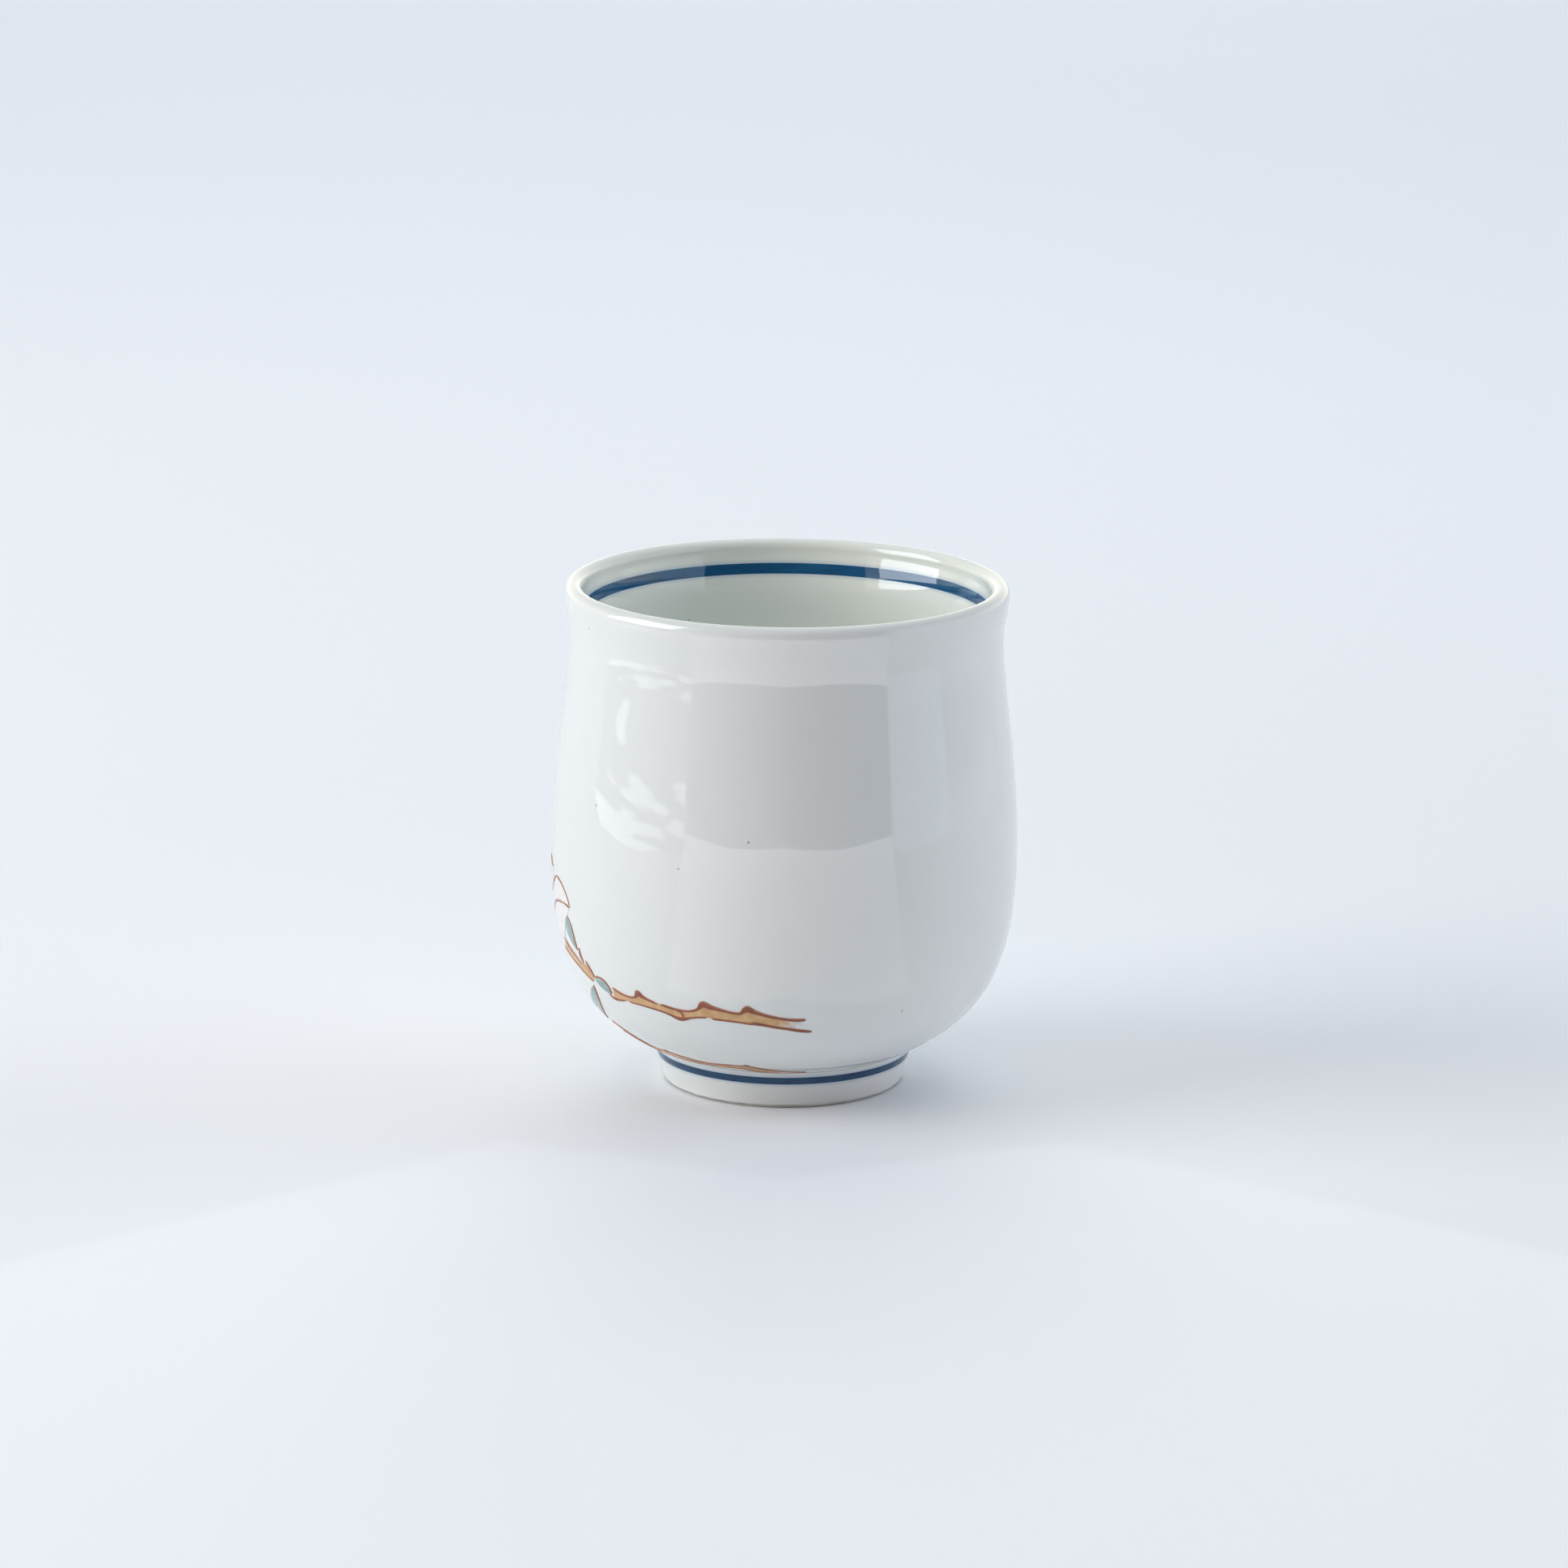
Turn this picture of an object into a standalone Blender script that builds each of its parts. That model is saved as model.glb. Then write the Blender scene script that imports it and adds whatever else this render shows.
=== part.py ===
"""Handleless porcelain teacup with cobalt bands and a blossom branch in raised enamel.

The cup stands on the XY plane with its axis on +Z, in metres. It is turned: a bowl whose wall keeps
one thickness all round, and a foot ring luted on under it. Two cobalt rings are inlaid flush, one
inside the lip and one round the foot. The painting is raised enamel: thin curved plates that follow
the wall, laid out by the angle round the cup and by the distance up the wall from the foot's seam.
Angle 0 is the front, at -Y, and angles grow towards +X.
"""

from math import atan2, ceil, cos, hypot, pi, radians, sin

import bmesh
import bpy
from mathutils import Vector

MM = 0.001

# The body's outside.
CUP_HEIGHT = 85.0 * MM
BELLY_RADIUS = 38.95 * MM
BELLY_HEIGHT = 40.0 * MM
WAIST_RADIUS = 35.9 * MM
WAIST_BELOW_RIM = 8.0 * MM
RIM_RADIUS = 36.45 * MM
LIP_ROUND = 1.2 * MM
LIP_INNER_TURN = radians(195)

# How the outline swells between those: the lengths of its curves' handles.
SEAM_PULL = 14.8 * MM
SEAM_RISE = radians(24.5)
BELLY_PULL_DOWN = 18.0 * MM
BELLY_PULL_UP = 15.0 * MM
WAIST_PULL = 9.0 * MM
RIM_PULL = 2.4 * MM

# Walls.
WALL = 3.5 * MM
FLOOR = 4.3 * MM
BASE_RISE = 0.5 * MM

# The foot ring, which narrows towards the table.
FOOT_HEIGHT = 6.5 * MM
FOOT_RADIUS = 21.75 * MM
FOOT_TAPER = 0.27
FOOT_WALL = 5.0 * MM
FOOT_INNER_TAPER = 0.08
FOOT_OUTER_ROUND = 0.7 * MM
FOOT_INNER_ROUND = 0.6 * MM
SEAM_GAP = 0.1 * MM

# The inlaid cobalt rings.
LIP_BAND_WIDTH = 1.7 * MM
LIP_BAND_BELOW_RIM = 3.95 * MM
FOOT_BAND_WIDTH = 1.15 * MM
FOOT_BAND_BELOW_SEAM = 0.9 * MM
BAND_DEPTH = 0.3 * MM
BAND_GAP = 0.1 * MM

# The raised enamel.
ENAMEL_GAP = 0.12 * MM
ENAMEL = 0.2 * MM
LINE = 0.3 * MM
FINE_LINE = 0.22 * MM
PATCH_GAP = 0.1 * MM

# How finely the shapes are faceted.
SEGMENTS = 64
LIP_STEPS = 4
FILLET_STEPS = 3
WALL_STEP = 4.2 * MM
ENAMEL_TURN = 4.0
ENAMEL_SPAN = 2.6 * MM


def clear_scene():
    for obj in list(bpy.data.objects):
        bpy.data.objects.remove(obj, do_unlink=True)


def material(name, colour, roughness, metallic=0.0):
    made = bpy.data.materials.new(name)
    made.use_nodes = True
    shader = made.node_tree.nodes["Principled BSDF"]
    shader.inputs["Base Color"].default_value = (*colour, 1.0)
    shader.inputs["Roughness"].default_value = roughness
    shader.inputs["Metallic"].default_value = metallic
    made.diffuse_color = (*colour, 1.0)
    return made


def add_object(name, bm, finish, sharp):
    bmesh.ops.recalc_face_normals(bm, faces=bm.faces)
    mesh = bpy.data.meshes.new(name)
    bm.to_mesh(mesh)
    bm.free()
    mesh.materials.append(finish)
    mesh.shade_smooth()
    mesh.set_sharp_from_angle(angle=sharp)
    obj = bpy.data.objects.new(name, mesh)
    bpy.context.scene.collection.objects.link(obj)
    return obj


# Outlines in the (radius, height) plane.


def curve(start, start_handle, end_handle, end, step):
    """Points along a Bezier curve from start to just before end, about a step apart."""
    corners = [Vector(p) for p in (start, start_handle, end_handle, end)]
    span = (corners[3] - corners[0]).length
    count = max(2, round(span / step))
    points = []
    for i in range(count):
        t = i / count
        ahead, behind = t, 1 - t
        points.append(
            corners[0] * behind**3
            + corners[1] * 3 * behind**2 * ahead
            + corners[2] * 3 * behind * ahead**2
            + corners[3] * ahead**3
        )
    return points


def outer_wall(step):
    """The outside of the bowl, from the foot's seam up to the widest point of the lip."""
    seam = (FOOT_RADIUS, FOOT_HEIGHT)
    belly = (BELLY_RADIUS, BELLY_HEIGHT)
    waist = (WAIST_RADIUS, CUP_HEIGHT - WAIST_BELOW_RIM)
    rim = (RIM_RADIUS, CUP_HEIGHT - LIP_ROUND)
    lower = curve(
        seam,
        (seam[0] + SEAM_PULL * cos(SEAM_RISE), seam[1] + SEAM_PULL * sin(SEAM_RISE)),
        (belly[0], belly[1] - BELLY_PULL_DOWN),
        belly,
        step,
    )
    upper = curve(
        belly,
        (belly[0], belly[1] + BELLY_PULL_UP),
        (waist[0], waist[1] - WAIST_PULL),
        waist,
        step,
    )
    mouth = curve(
        waist, (waist[0], waist[1] + RIM_PULL), (rim[0], rim[1] - RIM_PULL), rim, step
    )
    return lower + upper + mouth + [Vector(rim)]


def outward(points, index):
    """The unit normal of an outline at a point, on the side away from the axis."""
    before = points[max(index - 1, 0)]
    after = points[min(index + 1, len(points) - 1)]
    along = (after - before).normalized()
    return Vector((along.y, -along.x))


def inner_radius(height):
    """The radius of the inside at a height, one wall in from the outside."""
    inside = inner_wall(WALL_STEP / 6)
    for low, high in zip(inside, inside[1:]):
        if low.y <= height <= high.y:
            share = (height - low.y) / (high.y - low.y)
            return low.x + share * (high.x - low.x)
    return inside[-1].x


def inner_wall(step):
    outside = outer_wall(step)
    return [p - outward(outside, i) * WALL for i, p in enumerate(outside)]


def fillet(before, corner, after, size, steps=FILLET_STEPS):
    """A corner of an outline cut back by size along both sides and rounded."""
    start = corner + (before - corner).normalized() * size
    end = corner + (after - corner).normalized() * size
    points = []
    for i in range(steps + 1):
        t = i / steps
        points.append(start * (1 - t) ** 2 + corner * 2 * t * (1 - t) + end * t**2)
    return points


def foot_side(height):
    """The outer radius of the foot ring at a height."""
    return FOOT_RADIUS - FOOT_TAPER * (FOOT_HEIGHT - height)


def foot_bore(height):
    """The inner radius of the foot ring at a height: it is thickest at the seam."""
    return FOOT_RADIUS - FOOT_WALL - FOOT_INNER_TAPER * (height - FOOT_HEIGHT)


LIP_BAND_TOP = CUP_HEIGHT - LIP_BAND_BELOW_RIM
LIP_BAND_FOOT = LIP_BAND_TOP - LIP_BAND_WIDTH
FOOT_BAND_TOP = FOOT_HEIGHT - FOOT_BAND_BELOW_SEAM
FOOT_BAND_FOOT = FOOT_BAND_TOP - FOOT_BAND_WIDTH


def bowl_outline():
    floor_top = FOOT_HEIGHT + FLOOR
    lowest, highest = floor_top + WALL_STEP / 4, LIP_BAND_FOOT - WALL_STEP / 4
    inside = [p for p in inner_wall(WALL_STEP) if lowest < p.y < highest]
    floor_edge = inside[0].x - (inside[0].y - floor_top) / sin(SEAM_RISE) * cos(SEAM_RISE)
    groove = [
        Vector((inner_radius(LIP_BAND_FOOT), LIP_BAND_FOOT)),
        Vector((inner_radius(LIP_BAND_FOOT) + BAND_DEPTH + BAND_GAP, LIP_BAND_FOOT)),
        Vector((inner_radius(LIP_BAND_TOP) + BAND_DEPTH + BAND_GAP, LIP_BAND_TOP)),
        Vector((inner_radius(LIP_BAND_TOP), LIP_BAND_TOP)),
    ]
    centre = Vector((RIM_RADIUS - LIP_ROUND, CUP_HEIGHT - LIP_ROUND))
    lip = []
    for start, end in ((LIP_INNER_TURN, pi / 2), (pi / 2, 0)):
        for i in range(LIP_STEPS):
            turn = start + (end - start) * i / LIP_STEPS
            lip.append(centre + LIP_ROUND * Vector((cos(turn), sin(turn))))
    outside = list(reversed(outer_wall(WALL_STEP)))
    under = [
        Vector((foot_bore(FOOT_HEIGHT), FOOT_HEIGHT)),
        Vector((foot_bore(FOOT_HEIGHT) / 2, FOOT_HEIGHT + BASE_RISE * 0.75)),
        Vector((0, FOOT_HEIGHT + BASE_RISE)),
    ]
    floor = [Vector((0, floor_top)), Vector((floor_edge, floor_top))]
    return floor + inside + groove + lip + outside + under


def foot_outline():
    top = FOOT_HEIGHT - SEAM_GAP
    inlay = BAND_DEPTH + BAND_GAP
    toe_out = Vector((foot_side(0), 0))
    toe_in = Vector((foot_bore(0), 0))
    outer_top = Vector((foot_side(top), top))
    inner_top = Vector((foot_bore(top), top))
    groove = [
        Vector((foot_side(FOOT_BAND_TOP), FOOT_BAND_TOP)),
        Vector((foot_side(FOOT_BAND_TOP) - inlay, FOOT_BAND_TOP)),
        Vector((foot_side(FOOT_BAND_FOOT) - inlay, FOOT_BAND_FOOT)),
        Vector((foot_side(FOOT_BAND_FOOT), FOOT_BAND_FOOT)),
    ]
    toe = fillet(outer_top, toe_out, toe_in, FOOT_OUTER_ROUND)
    heel = fillet(toe_out, toe_in, inner_top, FOOT_INNER_ROUND)
    return [inner_top, outer_top, *groove, *toe, *heel]


def turned(name, outline, finish, closed):
    """A solid of revolution: closed outlines are rings, open ones end on the axis."""
    bm = bmesh.new()
    points = [bm.verts.new((p.x, 0, p.y)) for p in outline]
    pairs = list(zip(points, points[1:]))
    if closed:
        pairs.append((points[-1], points[0]))
    edges = [bm.edges.new(pair) for pair in pairs]
    bmesh.ops.spin(
        bm,
        geom=points + edges,
        axis=(0, 0, 1),
        cent=(0, 0, 0),
        steps=SEGMENTS,
        angle=2 * pi,
        use_merge=True,
    )
    bmesh.ops.remove_doubles(bm, verts=bm.verts, dist=1e-7)
    return add_object(name, bm, finish, radians(30))


def ring_outline(radius_of, low, high, side):
    """A flush inlay between two heights, in a groove on the given side of the wall."""
    low, high = low + BAND_GAP, high - BAND_GAP
    depth = BAND_DEPTH * side
    return [
        Vector((radius_of(high), high)),
        Vector((radius_of(high) + depth, high)),
        Vector((radius_of(low) + depth, low)),
        Vector((radius_of(low), low)),
    ]


# Enamel on the wall: angle in degrees and distance up the wall from the seam in millimetres.

WALL_LINE = outer_wall(WALL_STEP / 6)
WALL_CLIMB = [0.0]
for lower_point, upper_point in zip(WALL_LINE, WALL_LINE[1:]):
    WALL_CLIMB.append(WALL_CLIMB[-1] + (upper_point - lower_point).length)


def on_wall(angle, up, lift):
    """The point at an angle and a distance up the wall, lifted off it by lift."""
    climb = min(max(up * MM, 0.0), WALL_CLIMB[-2])
    index = next(i for i in range(len(WALL_CLIMB) - 1) if WALL_CLIMB[i + 1] >= climb)
    share = (climb - WALL_CLIMB[index]) / (WALL_CLIMB[index + 1] - WALL_CLIMB[index])
    point = WALL_LINE[index].lerp(WALL_LINE[index + 1], share)
    normal = outward(WALL_LINE, index).lerp(outward(WALL_LINE, index + 1), share).normalized()
    place = point + normal * lift
    turn = radians(angle)
    return (place.x * sin(turn), -place.x * cos(turn), place.y)


def degree_length(up):
    """How many millimetres one degree is, at a distance up the wall."""
    x, y, _ = on_wall(0, up, 0)
    return radians(hypot(x, y)) / MM


def fine_rows(rows):
    """Rows of two edge points with more put between, so that no plate cuts into the wall."""
    fine = [rows[0]]
    for first, second in zip(rows, rows[1:]):
        gap = max(abs(b[0] - a[0]) for a, b in zip(first, second))
        climb = max(abs(b[1] - a[1]) for a, b in zip(first, second))
        parts = max(1, ceil(max(gap / ENAMEL_TURN, climb * MM / ENAMEL_SPAN)))
        for i in range(1, parts + 1):
            t = i / parts
            fine.append(
                tuple(
                    (a[0] + (b[0] - a[0]) * t, a[1] + (b[1] - a[1]) * t)
                    for a, b in zip(first, second)
                )
            )
    return fine


def plate(name, rows, finish):
    """A thin curved plate between two edges. Each row is a point on one edge and its mate."""
    rows = fine_rows(rows)
    widest = max(abs(a[0] - b[0]) * degree_length(a[1]) + abs(a[1] - b[1]) for a, b in rows)
    across = max(1, ceil(widest * MM / ENAMEL_SPAN - 0.2))
    bm = bmesh.new()
    sheets = []
    for lift in (ENAMEL_GAP, ENAMEL_GAP + ENAMEL):
        sheet = []
        for a, b in rows:
            spots = [
                (a[0] + (b[0] - a[0]) * i / across, a[1] + (b[1] - a[1]) * i / across)
                for i in range(across + 1)
            ]
            sheet.append([bm.verts.new(on_wall(*spot, lift)) for spot in spots])
        sheets.append(sheet)
    under, over = sheets
    last = len(rows) - 1
    for i in range(last):
        for j in range(across):
            for sheet in sheets:
                bm.faces.new((sheet[i][j], sheet[i + 1][j], sheet[i + 1][j + 1], sheet[i][j + 1]))
        for j in (0, across):
            bm.faces.new((under[i][j], under[i + 1][j], over[i + 1][j], over[i][j]))
    for i in (0, last):
        for j in range(across):
            bm.faces.new((under[i][j], under[i][j + 1], over[i][j + 1], over[i][j]))
    return add_object(name, bm, finish, radians(40))


def level_line(name, points, finish, width=LINE):
    """A brush line that runs round the cup: (angle, up) or (angle, up, extra thickness above)."""
    half = width / MM / 2
    rows = []
    for i, (angle, up, *more) in enumerate(points):
        taper = 0.5 if i in (0, len(points) - 1) else 1.0
        extra = more[0] if more else 0.0
        rows.append(((angle, up - half * taper), (angle, up + half * taper + extra)))
    return plate(name, rows, finish)


def free_line(name, points, finish, width=LINE):
    """A brush line of one width that may turn any way, tapering at its ends."""
    rows = []
    for i, (angle, up) in enumerate(points):
        before = points[max(i - 1, 0)]
        after = points[min(i + 1, len(points) - 1)]
        scale = degree_length(up)
        turn = atan2(after[1] - before[1], (after[0] - before[0]) * scale)
        taper = 0.5 if i in (0, len(points) - 1) else 1.0
        reach = width / MM / 2 * taper
        side = (-sin(turn) * reach / scale, cos(turn) * reach)
        rows.append(((angle - side[0], up - side[1]), (angle + side[0], up + side[1])))
    return plate(name, rows, finish)


def between(name, rows, finish, width=LINE):
    """The colour laid between two brush lines, given as (angle, lower line, upper line)."""
    inset = (width / 2 + PATCH_GAP) / MM
    edges = [((angle, low + inset), (angle, high - inset)) for angle, low, high, *_ in rows]
    return plate(name, edges, finish)


def part_of(rows, start, end):
    return [row for row in rows if start <= row[0] <= end]


def lower_line(rows):
    return [(angle, low) for angle, low, *_ in rows]


def upper_line(rows):
    return [(angle, high, *more) for angle, _, high, *more in rows]


# The upper branch: angle, lower line, upper line, and how far a knot stands above that.
UPPER_BRANCH = [
    (-50.5, 19.35, 21.4),
    (-48.0, 19.55, 21.05),
    (-45.8, 19.65, 20.85),
    (-43.5, 19.65, 20.8),
    (-42.0, 19.65, 20.95, 0.3),
    (-40.7, 19.6, 21.2, 1.2),
    (-39.4, 19.6, 21.25, 0.3),
    (-37.0, 19.5, 21.05),
    (-34.9, 19.35, 20.7),
    (-33.6, 19.2, 20.65),
    (-31.0, 18.8, 20.4),
    (-29.2, 18.3, 20.2),
    (-28.2, 18.15, 20.15),
    (-26.6, 18.4, 20.2),
    (-24.8, 18.9, 20.35),
    (-23.0, 19.15, 20.7),
    (-22.0, 19.25, 21.1, 0.3),
    (-20.9, 19.25, 21.4, 1.0),
    (-19.6, 19.2, 21.4, 0.5),
    (-17.0, 19.1, 21.2),
    (-14.0, 19.0, 20.85),
    (-11.8, 18.95, 20.7),
    (-10.4, 18.85, 20.85, 0.3),
    (-9.1, 18.8, 21.05, 1.0),
    (-7.8, 18.75, 21.0, 0.5),
    (-5.0, 18.6, 20.6),
    (-2.0, 18.15, 20.15),
    (0.5, 17.85, 19.85),
    (3.0, 17.5, 19.65),
    (5.9, 17.15, 19.6),
]

# The lower branch, which runs down to the foot's seam.
LOWER_BRANCH = [
    (-66.0, 8.4, 10.4),
    (-61.5, 7.0, 9.4),
    (-57.5, 5.2, 7.8),
    (-54.0, 3.5, 5.8),
    (-50.0, 3.0, 5.4),
    (-46.0, 2.9, 5.6, 0.7),
    (-42.0, 2.7, 5.2),
    (-36.0, 2.5, 4.3),
    (-30.0, 2.6, 4.0),
    (-24.0, 2.7, 4.3),
    (-18.0, 2.8, 4.5),
    (-13.5, 2.3, 4.6, 0.7),
    (-10.5, 1.2, 4.2),
    (-7.0, 0.7, 3.6),
    (-3.0, 0.6, 2.8),
    (1.0, 0.6, 2.1),
    (5.0, 0.6, 1.8),
]

# Blossom outlines, seen from the side: the front petal's top line and the taller ones behind it.
FRONT_TOP = [
    (-86.0, 29.6),
    (-83.0, 31.0),
    (-80.0, 32.0),
    (-77.0, 32.8),
    (-73.5, 33.2),
    (-70.0, 33.4),
    (-66.4, 33.4),
]
RIGHT_TOP = [
    (-86.0, 33.0),
    (-83.0, 34.3),
    (-80.0, 35.7),
    (-77.0, 37.0),
    (-74.0, 36.9),
    (-70.5, 36.2),
    (-67.3, 34.7),
]
BACK_TOP = [
    (-100.0, 33.6),
    (-97.0, 36.2),
    (-93.0, 38.0),
    (-89.0, 38.6),
    (-85.0, 38.1),
    (-81.0, 38.0),
]


def paint(ochre, iron_red, celadon, white):
    left, right = part_of(UPPER_BRANCH, -50.5, -29.0), part_of(UPPER_BRANCH, -26.7, 3.0)
    between("branch_upper_left", left, ochre)
    between("branch_upper_right", right, ochre)
    level_line("line_upper_top_left", part_of(upper_line(UPPER_BRANCH), -51, -34.9), iron_red)
    level_line("line_upper_top_right", part_of(upper_line(UPPER_BRANCH), -33.6, 6), iron_red)
    level_line("line_upper_base_left", [(-53, 19.9), (-51.3, 19.4), (-46.4, 19.6)], iron_red)
    level_line("line_upper_base_middle", part_of(lower_line(UPPER_BRANCH), -45.8, -22), iron_red)
    tip = [(7.8, 17.1)]
    level_line("line_upper_base_right", part_of(lower_line(UPPER_BRANCH), -20, 6) + tip, iron_red)
    free_line("line_upper_joint", [(-28.2, 19.75), (-27.5, 19.3), (-27.8, 18.6)], iron_red)

    between("branch_lower", LOWER_BRANCH, ochre)
    tip = [(9.5, 1.2)]
    level_line("line_lower_top", upper_line(LOWER_BRANCH) + tip, iron_red)
    level_line("line_lower_base", lower_line(LOWER_BRANCH), iron_red)

    stem_rows = [
        ((-75.2, 24.8), (-73.8, 26.0)),
        ((-71.5, 24.3), (-70.6, 25.2)),
        ((-68.0, 23.7), (-67.2, 24.5)),
        ((-65.0, 23.1), (-64.0, 23.8)),
        ((-62.6, 22.5), (-61.6, 23.6)),
        ((-60.8, 22.1), (-59.9, 23.4)),
        ((-59.2, 21.8), (-58.6, 22.4)),
    ]
    plate("stem", stem_rows, ochre)
    base = [(-76.0, 24.9), (-73.5, 24.2), (-70.0, 23.65), (-66.5, 22.95), (-63.5, 22.3), (-59.4, 21.4)]
    free_line("line_stem_base", base, iron_red)
    free_line("line_stem_top", [(-73.6, 26.6), (-70.8, 25.7), (-67.5, 24.95), (-64.8, 24.15)], iron_red)
    free_line("line_stem_right", [(-60.7, 24.7), (-59.8, 24.1), (-58.8, 23.2), (-58.1, 22.6)], iron_red)
    free_line("twig", [(-63.4, 26.6), (-63.5, 25.6), (-62.8, 24.6)], iron_red, LINE * 1.6)

    tall_leaf = [
        ((-66.6, 26.5), (-65.5, 26.4)),
        ((-69.0, 27.5), (-65.9, 27.5)),
        ((-70.6, 28.6), (-66.2, 28.6)),
        ((-71.1, 29.7), (-66.8, 29.7)),
        ((-70.6, 30.7), (-67.8, 30.6)),
        ((-69.5, 31.2), (-69.0, 31.2)),
    ]
    plate("leaf_tall", tall_leaf, celadon)
    free_line(
        "line_leaf_tall",
        [(-64.7, 26.2), (-65.2, 27.8), (-65.7, 29.2), (-66.7, 30.5), (-68.2, 31.5)],
        iron_red,
    )
    small_leaf = [
        ((-57.6, 21.6), (-57.2, 22.0)),
        ((-56.2, 20.9), (-55.6, 22.1)),
        ((-54.6, 20.6), (-53.8, 21.9)),
        ((-53.2, 20.6), (-52.7, 21.2)),
    ]
    plate("leaf_small", small_leaf, celadon)
    edge = [(-57.7, 22.4), (-55.6, 22.55), (-53.6, 22.3), (-52.2, 21.5), (-51.8, 20.5)]
    free_line("line_leaf_small", edge, iron_red)
    low_leaf = [
        ((-61.8, 19.8), (-61.2, 19.6)),
        ((-64.6, 18.7), (-61.7, 17.9)),
        ((-67.6, 17.0), (-63.2, 16.3)),
        ((-70.8, 15.3), (-65.5, 14.4)),
        ((-72.8, 13.6), (-68.0, 12.9)),
        ((-73.2, 12.0), (-70.6, 11.7)),
    ]
    plate("leaf_low", low_leaf, celadon)
    edge = [(-60.5, 20.3), (-60.8, 18.6), (-62.2, 16.5), (-64.8, 14.2), (-67.4, 12.6), (-70.4, 11.1)]
    free_line("line_leaf_low", edge, iron_red)

    inset = (FINE_LINE / 2 + PATCH_GAP) / MM
    front_base = [28.9, 27.6, 26.7, 26.2, 27.4, 31.4, 32.4]
    rows = [
        ((angle, low), (angle, high - inset))
        for (angle, high), low in zip(FRONT_TOP, front_base)
    ]
    plate("petal_front", rows, white)
    rows = [
        ((low[0], low[1] + inset), (high[0], high[1] - inset))
        for low, high in zip(FRONT_TOP, RIGHT_TOP)
    ]
    plate("petal_right", rows, white)
    back_rows = [
        ((-98.5, 32.4), (-99.0, 33.6)),
        ((-96.0, 32.0), (-96.6, 35.9)),
        ((-92.6, 32.0), (-92.8, 37.7)),
        ((-89.4, 32.4), (-89.0, 38.3)),
        ((-86.6, 33.4), (-85.4, 37.8)),
        ((-83.2, 34.9), (-82.2, 37.6)),
    ]
    plate("petal_back", back_rows, white)
    left_rows = [
        ((-87.6, 28.2), (-87.6, 31.9)),
        ((-91.0, 27.0), (-91.0, 31.6)),
        ((-95.0, 27.2), (-95.0, 31.6)),
        ((-99.0, 28.6), (-99.0, 32.0)),
        ((-102.5, 30.8), (-102.5, 31.9)),
    ]
    plate("petal_left", left_rows, white)
    free_line("line_petal_front", FRONT_TOP, iron_red, FINE_LINE)
    free_line("line_petal_right", RIGHT_TOP + [(-66.7, 33.9)], iron_red, FINE_LINE)
    free_line("line_petal_back", BACK_TOP, iron_red, FINE_LINE)


def main():
    clear_scene()
    porcelain = material("porcelain", (0.74, 0.77, 0.77), 0.12)
    cobalt = material("cobalt", (0.012, 0.06, 0.14), 0.12)
    ochre = material("ochre_enamel", (0.62, 0.42, 0.19), 0.3)
    iron_red = material("iron_red_enamel", (0.28, 0.085, 0.045), 0.35)
    celadon = material("celadon_enamel", (0.27, 0.4, 0.39), 0.3)
    white = material("white_enamel", (0.8, 0.77, 0.79), 0.25)

    turned("bowl", bowl_outline(), porcelain, closed=False)
    turned("foot_ring", foot_outline(), porcelain, closed=True)
    lip_ring = ring_outline(inner_radius, LIP_BAND_FOOT, LIP_BAND_TOP, 1)
    turned("lip_band", lip_ring, cobalt, closed=True)
    foot_ring = ring_outline(foot_side, FOOT_BAND_FOOT, FOOT_BAND_TOP, -1)
    turned("foot_band", foot_ring, cobalt, closed=True)
    paint(ochre, iron_red, celadon, white)


main()
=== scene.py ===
# %% [markdown]
# # A porcelain teacup
#
# The real object is a small tea cup without a handle. A potter throws the bowl of white
# porcelain on a wheel, turns a low foot ring under it, brushes one cobalt ring inside the lip
# and one round the foot, glazes and fires it, and then paints a blossom branch over the glaze in
# raised enamel, which a second, cooler firing melts on.
#
# The imported model gives the place and the size of every piece. Each piece is made again here,
# finer, and the model's piece that it stands for is hidden.

from bisect import bisect_right
from math import ceil, cos, hypot, pi, radians, sin

import bpy
from mathutils import Matrix, Vector
from mathutils.kdtree import KDTree


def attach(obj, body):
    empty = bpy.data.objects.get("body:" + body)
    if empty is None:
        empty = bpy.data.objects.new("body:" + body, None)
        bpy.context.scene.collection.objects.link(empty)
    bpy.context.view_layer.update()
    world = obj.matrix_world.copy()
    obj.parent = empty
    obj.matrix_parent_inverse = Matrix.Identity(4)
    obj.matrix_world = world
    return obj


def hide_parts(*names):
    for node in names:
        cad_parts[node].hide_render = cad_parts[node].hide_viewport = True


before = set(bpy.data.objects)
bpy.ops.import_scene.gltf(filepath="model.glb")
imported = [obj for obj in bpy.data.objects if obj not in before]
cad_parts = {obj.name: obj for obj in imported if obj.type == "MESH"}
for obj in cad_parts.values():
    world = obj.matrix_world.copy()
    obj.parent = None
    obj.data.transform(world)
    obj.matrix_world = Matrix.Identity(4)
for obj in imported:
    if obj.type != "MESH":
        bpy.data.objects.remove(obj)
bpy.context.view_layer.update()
MM = 0.001
print("pieces in the frame:", len(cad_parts))

# %% [markdown]
# ## The camera
#
# A long lens stands back from the cup and looks down on it a little, so that the far lip shows
# over the near one and the sides stay upright. It is rolled half a degree, as a camera on a
# tripod that was set by hand. The Standard view shows colours as they are, without a film
# curve, which suits a white cup on white paper.

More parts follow.
